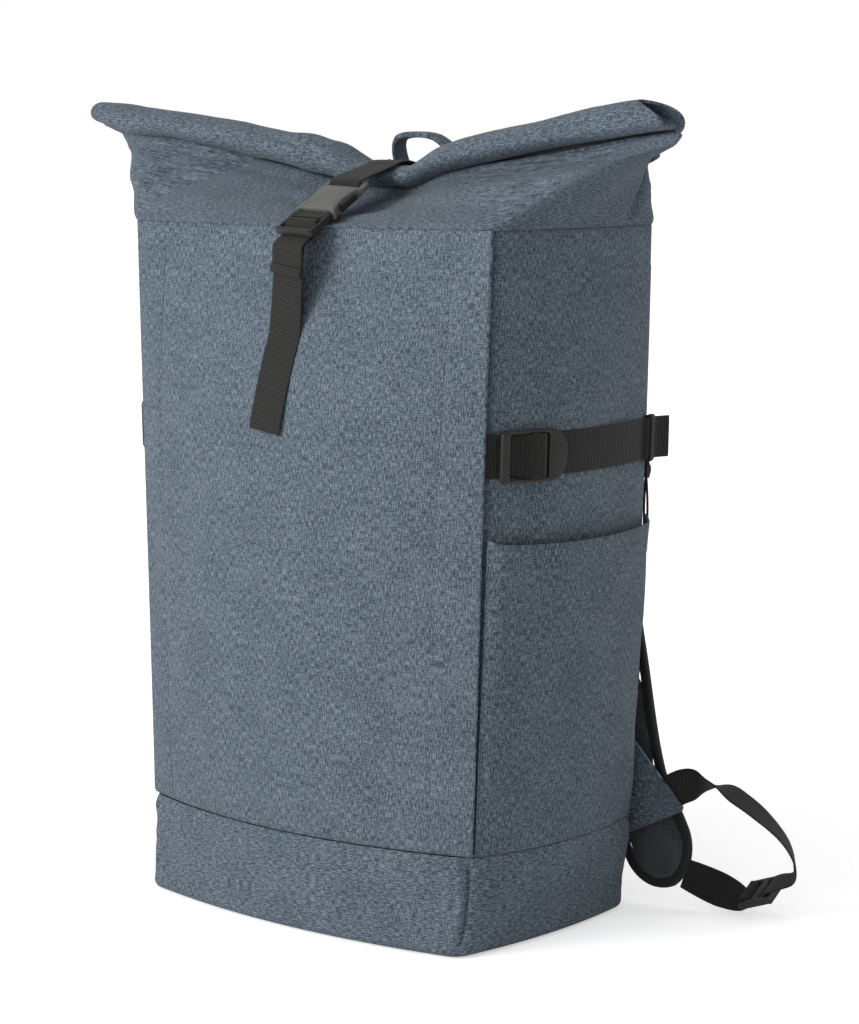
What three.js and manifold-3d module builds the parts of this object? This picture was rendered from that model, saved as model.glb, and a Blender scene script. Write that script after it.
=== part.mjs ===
// Rolltop backpack, millimetres. X runs to the right of someone who faces the front, the front
// faces -Y, Z is up, and the origin is the middle of the flat base.
import * as THREE from 'three';
import { mergeVertices } from 'three/addons/utils/BufferGeometryUtils.js';
import Module from 'manifold-3d';

const wasm = await Module();
wasm.setup();

// Driving dimensions
const clearance = 0.3;
const clothWall = 2.4;
const body = {
  baseHalfWidth: 150,
  topHalfWidth: 170,
  baseFrontDepth: 88,
  topFrontDepth: 84,
  baseBackDepth: 95,
  topBackDepth: 101,
  backBelly: 4,
  bandHeight: 70,
  seamHeight: 499,
  frontRadius: 9,
  backRadius: 18,
  bottomRadius: 7,
  bandProud: 3.3,
  foot: 10,
  footHeight: 22,
  frontBulge: 32,
  sideBulge: 19,
  backBulge: 3,
};
const frontPanel = { thickness: 3, lipAtBase: 4, lipAtTop: 0 };
const collar = {
  wall: 2,
  proud: 1.6,
  mouthHalfLength: 257,
  mouthThickness: 6.4,
  pillow: 0.45,
  gussetSwell: 16,
  foldDepth: 8,
  foldWidth: 0.16,
  foldPlace: 2.1,
  dentDepth: 6,
  dentWidth: 48,
  tipThinning: 0.6,
};
const roll = {
  halfLength: 266,
  lowestHeight: 533,
  rise: 45,
  sway: 20,
  midDepth: -18,
  height: 29,
  depth: 40,
  layer: 2.6,
  pitch: 4.6,
  turns: 2.1,
};
const pocket = { thickness: 2, front: 1.62, back: 3.4, hemHeight: 285, hemGap: 6.4, hemLift: 6 };
const webbing = { thickness: 1.6, closureWidth: 30, sideWidth: 30, shoulderWidth: 25 };
const closure = {
  sewnHeight: 356,
  sewnAcross: -7,
  lean: 0.14,
  barHeight: 489,
  barStandoff: 13,
  tailLength: 24,
};
const buckle = {
  width: 40,
  rail: 4,
  bar: 4,
  frameThickness: 5,
  maleLength: 23,
  window: 13,
  femaleLength: 30,
  femaleThickness: 11,
  endLoop: 9,
  waist: 4,
};
const slider = {
  height: 36,
  thickness: 4,
  corner: 4,
  rail: 7,
  start: -80,
  windowEnd: -55,
  barEnd: -46,
  slotEnd: -41,
  end: -25,
};
const sideStrap = { height: 347, tailStandout: 26, keeperLength: 11, keeperWall: 1.6 };
const zip = {
  bottom: 132,
  top: 470,
  width: 12,
  thickness: 1.6,
  sliderHeight: 322,
  pullerDrop: 44,
  pullerWidth: 8,
  cord: 1.8,
};
const handle = {
  width: 22,
  thickness: 3,
  halfSpan: 42,
  footLength: 20,
  footShare: 0.42,
  lift: 4.8,
  top: 562,
  topDepth: 34,
};
const backPad = { halfWidth: 132, bottom: 84, top: 478, thickness: 9 };
const yoke = { halfWidth: 96, height: 30, thickness: 3, centreHeight: 462 };
const shoulderPad = { width: 64, thickness: 9, edge: 5 };
const wing = {
  thickness: 2.2,
  rootTop: 124,
  rootBottom: 45,
  rootX: backPad.halfWidth + 9,
  tipX: 198,
  tipHeight: 77,
};
const ladderLock = { width: 34, length: 27, thickness: 5, bar: 4, window: 7 };

const materials = {
  cloth: new THREE.MeshStandardMaterial({ color: '#65727f', roughness: 0.85, metalness: 0 }),
  webbing: new THREE.MeshStandardMaterial({ color: '#2b2b29', roughness: 0.8, metalness: 0 }),
  plastic: new THREE.MeshStandardMaterial({ color: '#3a3b38', roughness: 0.45, metalness: 0 }),
  mesh: new THREE.MeshStandardMaterial({ color: '#36393b', roughness: 0.9, metalness: 0 }),
};

// Rows from the floor to the collar seam: height as a share of the seam height, and each face's
// bulge as a share of its named bulge.
const bulgeRows = [
  { height: 0.0, front: 0.55, side: 0.5, back: 0.2 },
  { height: 0.14, front: 0.86, side: 0.95, back: 0.6 },
  { height: 0.4, front: 1.0, side: 1.0, back: 1.0 },
  { height: 0.7, front: 1.04, side: 1.0, back: 1.0 },
  { height: 0.84, front: 0.72, side: 0.85, back: 1.0 },
  { height: 0.93, front: 0.3, side: 0.7, back: 0.8 },
  { height: 1.0, front: 0.14, side: 0.6, back: 0.6 },
];

// Rows along the roll from its left end to its right: place as a share of the half length, lift as
// a share of the rise, sway forwards as a share of the sway, and the section's size as shares.
const rollRows = [
  { place: -1.0, lift: 1.0, sway: 1.0, height: 0.66, depth: 0.7 },
  { place: -0.9, lift: 0.9, sway: 0.93, height: 0.9, depth: 0.92 },
  { place: -0.71, lift: 0.8, sway: 0.75, height: 0.9, depth: 1.0 },
  { place: -0.5, lift: 0.63, sway: 0.55, height: 0.95, depth: 1.0 },
  { place: -0.24, lift: 0.36, sway: 0.3, height: 1.06, depth: 1.0 },
  { place: -0.11, lift: 0.2, sway: 0.14, height: 1.06, depth: 1.0 },
  { place: -0.02, lift: 0.08, sway: 0.06, height: 0.92, depth: 0.96 },
  { place: 0.04, lift: 0.01, sway: 0.0, height: 0.74, depth: 0.92 },
  { place: 0.12, lift: -0.03, sway: 0.0, height: 0.68, depth: 0.9 },
  { place: 0.18, lift: 0.07, sway: 0.0, height: 0.7, depth: 0.9 },
  { place: 0.27, lift: 0.25, sway: 0.0, height: 0.76, depth: 0.95 },
  { place: 0.48, lift: 0.5, sway: -0.02, height: 0.92, depth: 1.0 },
  { place: 0.68, lift: 0.69, sway: -0.04, height: 1.0, depth: 1.0 },
  { place: 0.86, lift: 0.84, sway: -0.05, height: 0.94, depth: 0.95 },
  { place: 1.0, lift: 0.92, sway: -0.05, height: 0.92, depth: 0.86 },
];

// Rows down the shoulder pad's middle line: place across as a share of the body's base half width,
// height as a share of the seam height, bow away from the back as a share of the largest bow, and
// width as a share of the pad's width.
const padRows = [
  { across: 0.36, height: 0.925, bow: 0.0, width: 0.9 },
  { across: 0.41, height: 0.82, bow: 0.55, width: 0.96 },
  { across: 0.49, height: 0.66, bow: 1.0, width: 1.0 },
  { across: 0.6, height: 0.5, bow: 0.95, width: 1.0 },
  { across: 0.735, height: 0.35, bow: 0.6, width: 1.0 },
  { across: 0.91, height: 0.18, bow: 0.1, width: 1.0 },
  { across: 1.09, height: 0.09, bow: 0.0, width: 0.98 },
];
const padBow = 14;

// Route of the shoulder webbing from the wing's edge round to the ladder lock, chosen by hand:
// place, and the direction of its width.
const webbingRoute = [
  { at: [173, 102.6, 77], across: [0.74, 0, -0.66] },
  { at: [186.5, 103.4, 89], across: [0.74, 0.1, -0.66] },
  { at: [195.5, 108, 93.5], across: [0.66, 0.42, -0.62] },
  { at: [205.5, 114, 94.5], across: [0.42, 0.8, -0.42] },
  { at: [218.5, 120, 92.5], across: [0.2, 0.96, -0.2] },
  { at: [230.5, 124, 85.5], across: [0.05, 1, -0.05] },
  { at: [244.5, 127, 76.5], across: [-0.08, 0.99, -0.06] },
  { at: [261.5, 130, 62.5], across: [-0.25, 0.95, -0.2] },
  { at: [269.5, 131.5, 51.5], across: [-0.42, 0.88, -0.24] },
  { at: [272.5, 132.5, 41.5], across: [-0.58, 0.81, -0.12] },
  { at: [270.5, 133, 32], across: [-0.56, 0.82, 0.05] },
];
const lockCentre = [245, 131, 17.5];
const lockDirection = [0.94, 0.08, 0.33];
const lockAcross = [-0.22, 0.92, 0.32];

const ring = 2 * Math.PI;
const quarter = Math.PI / 2;

// Smooth value of one column of a table at a place, by Hermite curves through its rows.
function tableValue(rows, key, column, place) {
  const last = rows.length - 1;
  let row = 0;
  while (row < last - 1 && place > rows[row + 1][key]) row += 1;
  const slope = (index) => {
    const before = rows[Math.max(index - 1, 0)];
    const after = rows[Math.min(index + 1, last)];
    return (after[column] - before[column]) / (after[key] - before[key]);
  };
  const span = rows[row + 1][key] - rows[row][key];
  const t = THREE.MathUtils.clamp((place - rows[row][key]) / span, 0, 1);
  const rest = 1 - t;
  return (
    rest * rest * (1 + 2 * t) * rows[row][column] +
    t * t * (3 - 2 * t) * rows[row + 1][column] +
    span * t * rest * (rest * slope(row) - t * slope(row + 1))
  );
}

// Rises from 0 to 1 in the middle of a share and falls back to 0.
function arch(share) {
  return Math.max(0, Math.sin(Math.PI * share));
}

function spaced(first, last, count) {
  return Array.from({ length: count + 1 }, (_, i) => first + ((last - first) * i) / count);
}

// Turns a list of points and triangles into a closed geometry whose faces point outwards.
function closedGeometry(points, triangles) {
  const vector = (index) => new THREE.Vector3(...points[index]);
  let volume = 0;
  for (const [a, b, c] of triangles) {
    volume += vector(a).dot(vector(b).cross(vector(c)));
  }
  const outward = volume > 0 ? triangles : triangles.map(([a, b, c]) => [a, c, b]);
  const geometry = new THREE.BufferGeometry();
  geometry.setAttribute('position', new THREE.Float32BufferAttribute(points.flat(), 3));
  geometry.setIndex(outward.flat());
  return geometry;
}

// Closed wall between an outer and an inner grid of points; closedAround joins the last column to
// the first.
function wallBetween(outer, inner, closedAround = false) {
  const rows = outer.length;
  const columns = outer[0].length;
  const points = [...outer.flat(), ...inner.flat()];
  const at = (layer, row, column) => (layer * rows + row) * columns + (column % columns);
  const triangles = [];
  const quad = (a, b, c, d) => triangles.push([a, b, c], [a, c, d]);
  const lastColumn = closedAround ? columns : columns - 1;
  for (let row = 0; row < rows - 1; row += 1) {
    for (let column = 0; column < lastColumn; column += 1) {
      quad(at(0, row, column), at(0, row, column + 1), at(0, row + 1, column + 1), at(0, row + 1, column));
      quad(at(1, row, column), at(1, row + 1, column), at(1, row + 1, column + 1), at(1, row, column + 1));
    }
  }
  for (let column = 0; column < lastColumn; column += 1) {
    const end = rows - 1;
    quad(at(0, 0, column), at(1, 0, column), at(1, 0, column + 1), at(0, 0, column + 1));
    quad(at(0, end, column), at(0, end, column + 1), at(1, end, column + 1), at(1, end, column));
  }
  if (!closedAround) {
    for (let row = 0; row < rows - 1; row += 1) {
      const side = columns - 1;
      quad(at(0, row, 0), at(0, row + 1, 0), at(1, row + 1, 0), at(1, row, 0));
      quad(at(0, row, side), at(1, row, side), at(1, row + 1, side), at(0, row + 1, side));
    }
  }
  return closedGeometry(points, triangles);
}

// Closed solid through a row of rings, with a flat fan at each end.
function ringedSolid(rings) {
  const count = rings[0].length;
  const points = rings.flat();
  const triangles = [];
  for (let row = 0; row < rings.length - 1; row += 1) {
    for (let i = 0; i < count; i += 1) {
      const next = (i + 1) % count;
      const low = row * count;
      const high = low + count;
      triangles.push([low + i, low + next, high + next], [low + i, high + next, high + i]);
    }
  }
  const fan = (start, centreHeight, forwards) => {
    const centre = points.push([0, 0, centreHeight]) - 1;
    for (let i = 0; i < count; i += 1) {
      const a = start + i;
      const b = start + ((i + 1) % count);
      triangles.push(forwards ? [centre, a, b] : [centre, b, a]);
    }
  };
  fan(0, rings[0][0][2], false);
  fan((rings.length - 1) * count, rings[rings.length - 1][0][2], true);
  return closedGeometry(points, triangles);
}

// Flat strap of a width and thickness through stations, each a place and a direction of its width.
function strap(stations, width, thickness) {
  const outer = [];
  const inner = [];
  stations.forEach((station, i) => {
    const before = stations[Math.max(i - 1, 0)].at;
    const after = stations[Math.min(i + 1, stations.length - 1)].at;
    const tangent = new THREE.Vector3().subVectors(after, before).normalize();
    const lean = station.across.dot(tangent);
    const across = station.across.clone().addScaledVector(tangent, -lean).normalize();
    const normal = new THREE.Vector3().crossVectors(tangent, across).normalize();
    const half = ((station.width ?? 1) * width) / 2;
    const corner = (side, face) =>
      station.at
        .clone()
        .addScaledVector(across, side * half)
        .addScaledVector(normal, (face * thickness) / 2)
        .toArray();
    outer.push([corner(-1, 1), corner(1, 1)]);
    inner.push([corner(-1, -1), corner(1, -1)]);
  });
  return wallBetween(outer, inner);
}

function mirrored(geometry) {
  const points = [];
  const place = geometry.attributes.position;
  for (let i = 0; i < place.count; i += 1) {
    points.push([-place.getX(i), place.getY(i), place.getZ(i)]);
  }
  const index = geometry.index ? geometry.index.array : points.map((_, i) => i);
  const triangles = [];
  for (let i = 0; i < index.length; i += 3) {
    triangles.push([index[i], index[i + 1], index[i + 2]]);
  }
  return closedGeometry(points, triangles);
}

function toManifold(geometry) {
  const bare = geometry.index ? geometry.clone() : geometry;
  bare.deleteAttribute('normal');
  bare.deleteAttribute('uv');
  const merged = mergeVertices(bare, 1e-4);
  return new wasm.Manifold(
    new wasm.Mesh({
      numProp: 3,
      vertProperties: new Float32Array(merged.attributes.position.array),
      triVerts: new Uint32Array(merged.index.array),
    }),
  );
}

function fromManifold(solid) {
  const mesh = solid.getMesh();
  const geometry = new THREE.BufferGeometry();
  geometry.setAttribute('position', new THREE.BufferAttribute(new Float32Array(mesh.vertProperties), 3));
  geometry.setIndex(Array.from(mesh.triVerts));
  return geometry;
}

function roundedOutline(left, right, bottom, top, radius, Kind = THREE.Shape) {
  const outline = new Kind();
  outline.moveTo(left + radius, bottom);
  outline.lineTo(right - radius, bottom);
  outline.absarc(right - radius, bottom + radius, radius, -quarter, 0);
  outline.lineTo(right, top - radius);
  outline.absarc(right - radius, top - radius, radius, 0, quarter);
  outline.lineTo(left + radius, top);
  outline.absarc(left + radius, top - radius, radius, quarter, 2 * quarter);
  outline.lineTo(left, bottom + radius);
  outline.absarc(left + radius, bottom + radius, radius, 2 * quarter, 3 * quarter);
  outline.closePath();
  return outline;
}

// Plate cut to an outline, with its middle plane at a height of the local third axis.
function plate(outline, thickness, middle = 0, segments = 3) {
  const geometry = new THREE.ExtrudeGeometry(outline, {
    depth: thickness,
    bevelEnabled: false,
    curveSegments: segments,
  });
  return geometry.translate(0, 0, middle - thickness / 2);
}

// Places a geometry whose axes are a given first, second and third direction at an origin.
function placed(geometry, origin, first, second, third) {
  const matrix = new THREE.Matrix4().makeBasis(first, second, third).setPosition(origin);
  return geometry.applyMatrix4(matrix);
}

const halfWidthAt = (z) =>
  THREE.MathUtils.lerp(body.baseHalfWidth, body.topHalfWidth, z / body.seamHeight);
const frontDepthAt = (z) =>
  THREE.MathUtils.lerp(body.baseFrontDepth, body.topFrontDepth, z / body.seamHeight) +
  body.foot * Math.exp(-z / body.footHeight);
const backDepthAt = (z) =>
  THREE.MathUtils.lerp(body.baseBackDepth, body.topBackDepth, z / body.seamHeight) +
  body.backBelly * Math.sin((Math.PI * z) / body.seamHeight);
const bulgeAt = (face, z) => tableValue(bulgeRows, 'height', face, z / body.seamHeight);

// Point of the body's skin. Around runs 0 to 8 from the front's left end: front, corner, right
// side, corner, back, corner, left side, corner. Inset moves it towards the inside.
function skin(around, z, inset = 0) {
  const halfWidth = halfWidthAt(z) - inset;
  const frontDepth = frontDepthAt(z) - inset;
  const backDepth = backDepthAt(z) - inset;
  const front = Math.max(body.frontRadius - inset, 1);
  const back = Math.max(body.backRadius - inset, 1);
  const turn = ((around % 8) + 8) % 8;
  const piece = Math.floor(turn);
  const t = turn - piece;
  const lerp = THREE.MathUtils.lerp;
  const arc = (x, y, radius, start) => [
    x + radius * Math.cos(start + t * quarter),
    y + radius * Math.sin(start + t * quarter),
  ];
  const stretch = [
    () => [lerp(-(halfWidth - front), halfWidth - front, t), -frontDepth],
    () => arc(halfWidth - front, -(frontDepth - front), front, -quarter),
    () => [halfWidth, lerp(-(frontDepth - front), backDepth - back, t)],
    () => arc(halfWidth - back, backDepth - back, back, 0),
    () => [lerp(halfWidth - back, -(halfWidth - back), t), backDepth],
    () => arc(-(halfWidth - back), backDepth - back, back, quarter),
    () => [-halfWidth, lerp(backDepth - back, -(frontDepth - front), t)],
    () => arc(-(halfWidth - front), -(frontDepth - front), front, 2 * quarter),
  ];
  const [x, y] = stretch[piece]();
  const reach = y < 0 ? frontDepth : backDepth;
  const swellX = Math.max(0, 1 - (y / reach) ** 2) * body.sideBulge * bulgeAt('side', z);
  const swellY =
    Math.max(0, 1 - (x / halfWidth) ** 2) *
    (y < 0 ? body.frontBulge * bulgeAt('front', z) : body.backBulge * bulgeAt('back', z));
  return [x + Math.sign(x) * swellX, y + Math.sign(y) * swellY, z];
}

// Point in front of the front skin at a place across and a height.
function frontPoint(x, z, outset) {
  const swell = (1 - (x / halfWidthAt(z)) ** 2) * body.frontBulge * bulgeAt('front', z);
  return [x, -(frontDepthAt(z) + swell + outset), z];
}

// Stations right round the skin, closest together on the front.
const wholeTurn = [
  ...spaced(0, 1, 8).slice(0, -1),
  ...spaced(1, 2, 2).slice(0, -1),
  ...spaced(2, 3, 6).slice(0, -1),
  ...spaced(3, 4, 3).slice(0, -1),
  ...spaced(4, 5, 6).slice(0, -1),
  ...spaced(5, 6, 3).slice(0, -1),
  ...spaced(6, 7, 6).slice(0, -1),
  ...spaced(7, 8, 2).slice(0, -1),
];
const seamGap = clearance / 2 / (quarter * body.backRadius);
const backRightSeam = 3.5;
const backLeftSeam = 5.5;
const frontWrap = 0.022;

// Distance round the skin from the front's middle: 1 at the front corners, 3 at the back ones.
const fromFrontMiddle = (around) => Math.abs(((((around % 8) + 8) % 8) + 3.5) % 8 - 4);

// How far the base band stands out past the skin: level with the front panel, and flush at the back.
const bandProudAt = (around) =>
  body.bandProud * (1 - THREE.MathUtils.smoothstep(fromFrontMiddle(around), 2.5, 3));

// Base band: an upright wall round the body whose bottom edge turns inwards.
function baseBand() {
  const top = body.bandHeight - clearance / 2;
  const row = (turned, level, wall) => {
    const radius = body.bottomRadius - wall;
    const edge = wall + radius * (1 - Math.cos(turned));
    const z = THREE.MathUtils.lerp(edge, top, level);
    const inset = wall + radius * (1 - Math.sin(turned));
    return wholeTurn.map((around) => skin(around, z, inset - bandProudAt(around)));
  };
  const grid = (wall) => [
    ...spaced(0, quarter, 3).map((turned) => row(turned, 0, wall)),
    row(quarter, 0.5, wall),
    row(quarter, 1, wall),
  ];
  return wallBetween(grid(0), grid(clothWall), true);
}

// Flat panel inside the base band's lower rim.
function basePanel() {
  const ringAt = (z) =>
    wholeTurn.map((around) => {
      const [x, y] = skin(around, 0, body.bottomRadius + 3 * clearance - bandProudAt(around));
      return [x, y, z];
    });
  return ringedSolid([ringAt(0), ringAt(clothWall)]);
}

const panelHeights = spaced(body.bandHeight + clearance / 2, body.seamHeight - clearance / 2, 12);

// Upright panel of the shell; where it passes behind the front panel it steps back a little.
function shellPanel(stations) {
  const behindFront = (around) => (around < 1 ? clearance : 0);
  const grid = (inset) =>
    panelHeights.map((z) => stations.map((around) => skin(around, z, inset + behindFront(around))));
  return wallBetween(grid(0), grid(clothWall));
}

// Front pocket panel, whose upright edges stand out past the corners as a lip.
function frontPocketPanel() {
  const lip = (z) => THREE.MathUtils.lerp(frontPanel.lipAtBase, frontPanel.lipAtTop, z / body.seamHeight);
  const columnsAt = (z) => {
    const straight = halfWidthAt(z) - body.frontRadius;
    const wrapped = straight * (1 - 2 * frontWrap);
    const edge = halfWidthAt(z) + lip(z);
    return [-edge, -straight, ...spaced(-wrapped, wrapped, 8), straight, edge];
  };
  const grid = (outset) => panelHeights.map((z) => columnsAt(z).map((x) => frontPoint(x, z, outset)));
  return wallBetween(grid(clearance + frontPanel.thickness), grid(clearance));
}

// Middle of the roll's section and its half height and half depth at a place across.
function rollSection(x) {
  const place = THREE.MathUtils.clamp(x / roll.halfLength, -1, 1);
  const value = (column) => tableValue(rollRows, 'place', column, place);
  return {
    y: roll.midDepth - roll.sway * value('sway'),
    z: roll.lowestHeight + roll.rise * value('lift'),
    halfHeight: (roll.height / 2) * value('height'),
    halfDepth: (roll.depth / 2) * value('depth'),
  };
}

// Point of the rolled sheet: turn counts windings from its start under the roll, up the back, over
// the top and down the front; inset goes towards the roll's middle.
const rollStart = -0.22;
function rollPoint(x, turn, inset) {
  const { y, z, halfHeight, halfDepth } = rollSection(x);
  const squeeze = halfHeight / (roll.height / 2);
  const depthLeft = Math.max(halfDepth - (roll.pitch * turn + inset) * squeeze, 0.4);
  const heightLeft = Math.max(halfHeight - (roll.pitch * turn + inset) * squeeze, 0.4);
  const angle = (rollStart + turn) * ring;
  return [x, y + depthLeft * Math.cos(angle), z + heightLeft * Math.sin(angle)];
}

function rolledTop() {
  const shares = [0.06, 0.18, 0.3, 0.42, 0.56, 0.7, 0.84, 0.94, 1];
  const places = [...shares.map((share) => -share).reverse(), ...shares];
  const across = places.map((place) => place * roll.halfLength);
  const turns = spaced(0, roll.turns, Math.round(12 * roll.turns));
  const grid = (inset) => across.map((x) => turns.map((turn) => rollPoint(x, turn, inset)));
  return wallBetween(grid(0), grid(roll.layer));
}

// Point of the collar's mouth, a flat slit just under the start of the rolled sheet.
function mouthPoint(around) {
  const turn = ((around % 8) + 8) % 8;
  const depth = body.topFrontDepth + body.topBackDepth;
  const corner = 1 - depth / (depth + 2 * body.topHalfWidth);
  const legs = [
    { until: 1.5, from: -corner, to: corner, start: -0.5 },
    { until: 2.5, from: corner, to: 1, start: 1.5 },
    { until: 3.5, from: 1, to: corner, start: 2.5 },
    { until: 5.5, from: corner, to: -corner, start: 3.5 },
    { until: 6.5, from: -corner, to: -1, start: 5.5 },
    { until: 7.5, from: -1, to: -corner, start: 6.5 },
    { until: 8, from: -corner, to: corner, start: 7.5 },
  ];
  const leg = legs.find(({ until }) => turn <= until);
  const length = leg.start === -0.5 || leg.start === 7.5 ? 2 : leg.until - leg.start;
  const share = THREE.MathUtils.lerp(leg.from, leg.to, (turn - leg.start) / length);
  const isFront = turn < 2.5 || turn > 6.5;
  const x = share * collar.mouthHalfLength;
  const { y, z, halfHeight, halfDepth } = rollSection(x);
  const startAngle = rollStart * ring;
  const middle = y + halfDepth * Math.cos(startAngle);
  const thin = Math.min(1, (1 - Math.abs(share)) * 12);
  const halfSlit = (collar.mouthThickness / 2) * thin;
  const under = z - halfHeight - 4 * clearance;
  return [x, middle + (isFront ? -halfSlit : halfSlit), under];
}

// Point of the collar between its seam and its mouth, part straight and part pillowed. The side
// gussets swell outwards with one fold in each, and the front is pressed down under the buckle.
// The distance from the front's middle is 1 at the front corners and 3 at the back ones.
function collarPoint(around, share) {
  const turn = ((around % 8) + 8) % 8;
  const fromMiddle = fromFrontMiddle(around);
  const overFront = THREE.MathUtils.smoothstep(fromMiddle, 0, 1.4);
  const frontProud = frontPanel.thickness + 2 * clearance + collar.proud / 2;
  const foot = skin(around, body.seamHeight, -THREE.MathUtils.lerp(frontProud, collar.proud, overFront));
  const mouth = mouthPoint(around);
  const run = THREE.MathUtils.lerp(share, 1 - Math.cos(share * quarter), collar.pillow);
  const rise = THREE.MathUtils.lerp(share, Math.sin(share * quarter), collar.pillow);
  const onGusset =
    THREE.MathUtils.smoothstep(fromMiddle, 0.6, 1.2) * (1 - THREE.MathUtils.smoothstep(fromMiddle, 2.9, 3.6));
  const swell = collar.gussetSwell * onGusset * arch(share) ** 0.7;
  const fromFold = (fromMiddle - collar.foldPlace) / collar.foldWidth;
  const fold = collar.foldDepth * Math.exp(-(fromFold ** 2)) * arch(share) ** 1.5;
  const x = THREE.MathUtils.lerp(foot[0], mouth[0], run);
  const startHeight = body.seamHeight + clearance / 2;
  const isFront = turn < 2.5 || turn > 6.5;
  const dent = isFront ? collar.dentDepth * Math.exp(-((x / collar.dentWidth) ** 2)) * arch(share) : 0;
  return [
    x + Math.sign(x) * (swell - fold),
    THREE.MathUtils.lerp(foot[1], mouth[1], run),
    THREE.MathUtils.lerp(startHeight, mouth[2], rise) - dent,
  ];
}

// Outward normal of the collar's surface.
function collarNormal(around, share) {
  const step = 0.02;
  const place = (a, s) => new THREE.Vector3(...collarPoint(a, s));
  const aside = place(around + step, share).sub(place(around - step, share));
  const higher = place(around, Math.min(share + step, 1)).sub(place(around, Math.max(share - step, 0)));
  return new THREE.Vector3().crossVectors(aside, higher).normalize();
}

const collarShares = spaced(0, 1, 6);

// Collar wall: its inner face lies level with its foot at the seam and thins towards the tips.
function collarLoft() {
  const tipReach = 0.6;
  const inner = (around, share) => {
    const normal = collarNormal(around, share);
    normal.z *= Math.min(1, share * 4);
    const tip = Math.max(0, 1 - Math.min(Math.abs(around - 2.5), Math.abs(around - 6.5)) / tipReach);
    const thickness = collar.wall * (1 - collar.tipThinning * share * tip);
    return new THREE.Vector3(...collarPoint(around, share))
      .addScaledVector(normal.normalize(), -thickness)
      .toArray();
  };
  const row = (point, share) => wholeTurn.map((around) => point(around, share));
  const grid = (point) => collarShares.map((share) => row(point, share));
  return wallBetween(grid(collarPoint), grid(inner), true);
}

// Side pocket: a loose layer over the side from the base band up to its hem.
function sidePocket() {
  const stations = spaced(pocket.front, pocket.back, 12);
  const levels = spaced(0, 1, 7);
  const bottom = body.bandHeight + clearance / 2;
  const grid = (thickness) =>
    levels.map((level) =>
      stations.map((around) => {
        const across = (around - pocket.front) / (pocket.back - pocket.front);
        const hem = pocket.hemHeight + pocket.hemLift * (2 * across - 1) ** 2;
        const z = THREE.MathUtils.lerp(bottom, hem, level);
        const loose = pocket.hemGap * level ** 2 * arch(across) ** 1.2;
        return skin(around, z, -(clearance + loose + thickness));
      }),
    );
  return wallBetween(grid(pocket.thickness), grid(0));
}

const up = new THREE.Vector3(0, 0, 1);
const right = new THREE.Vector3(1, 0, 0);

// Frame of the right side's skin at a depth and height: origin, rearward, upward and outward.
function sideFrame(y, z) {
  const side = (depth, height) => {
    const first = body.frontRadius - frontDepthAt(height);
    const last = backDepthAt(height) - body.backRadius;
    const share = THREE.MathUtils.clamp((depth - first) / (last - first), 0, 0.999);
    return new THREE.Vector3(...skin(2 + share, height));
  };
  const origin = side(y, z);
  const rearward = side(y + 1, z).sub(side(y - 1, z)).normalize();
  const upward = side(y, z + 1).sub(side(y, z - 1)).normalize();
  const outward = new THREE.Vector3().crossVectors(rearward, upward).normalize();
  return { origin, rearward, upward, outward };
}

const sliderMiddle = (slider.start + slider.end) / 2;
const sliderBack = webbing.thickness + 2 * clearance + 0.4;

function sideSlider() {
  const { origin, rearward, upward, outward } = sideFrame(sliderMiddle, sideStrap.height);
  const local = (depth) => depth - sliderMiddle;
  const half = slider.height / 2;
  const tabStart = local(slider.slotEnd) + slider.corner;
  const cornerX = local(slider.start) + slider.corner;
  const cornerY = half - slider.corner;
  const outline = new THREE.Shape();
  outline.moveTo(cornerX, -half);
  outline.lineTo(tabStart, -half);
  outline.absellipse(tabStart, 0, local(slider.end) - tabStart, half, -quarter, quarter);
  outline.lineTo(cornerX, half);
  outline.absarc(cornerX, cornerY, slider.corner, quarter, 2 * quarter);
  outline.lineTo(local(slider.start), -cornerY);
  outline.absarc(cornerX, -cornerY, slider.corner, 2 * quarter, 3 * quarter);
  const inside = webbing.sideWidth / 2 + clearance;
  const windowStart = local(slider.start) + slider.rail;
  outline.holes.push(
    roundedOutline(windowStart, local(slider.windowEnd), -inside, inside, 1, THREE.Path),
    roundedOutline(local(slider.barEnd), local(slider.slotEnd), -inside, inside, 1, THREE.Path),
  );
  const solid = plate(outline, slider.thickness, 0, 3);
  const centre = origin.clone().addScaledVector(outward, sliderBack + slider.thickness / 2);
  return placed(solid, centre, rearward, upward, outward);
}

// Place and directions on the right back corner: along the skin rearwards and outwards from it.
function cornerFrame(around, z) {
  const at = new THREE.Vector3(...skin(around, z));
  const before = new THREE.Vector3(...skin(around - 0.04, z));
  const after = new THREE.Vector3(...skin(around + 0.04, z));
  const along = after.sub(before).normalize();
  const outward = new THREE.Vector3().crossVectors(along, up).normalize();
  return { at, along, outward };
}

const keeperAround = 3.2;
const keeperLift = sideStrap.keeperWall + 3 * clearance + webbing.thickness / 2;
const keeper = cornerFrame(keeperAround, sideStrap.height);
const keeperCentre = keeper.at.clone().addScaledVector(keeper.outward, keeperLift);

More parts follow.
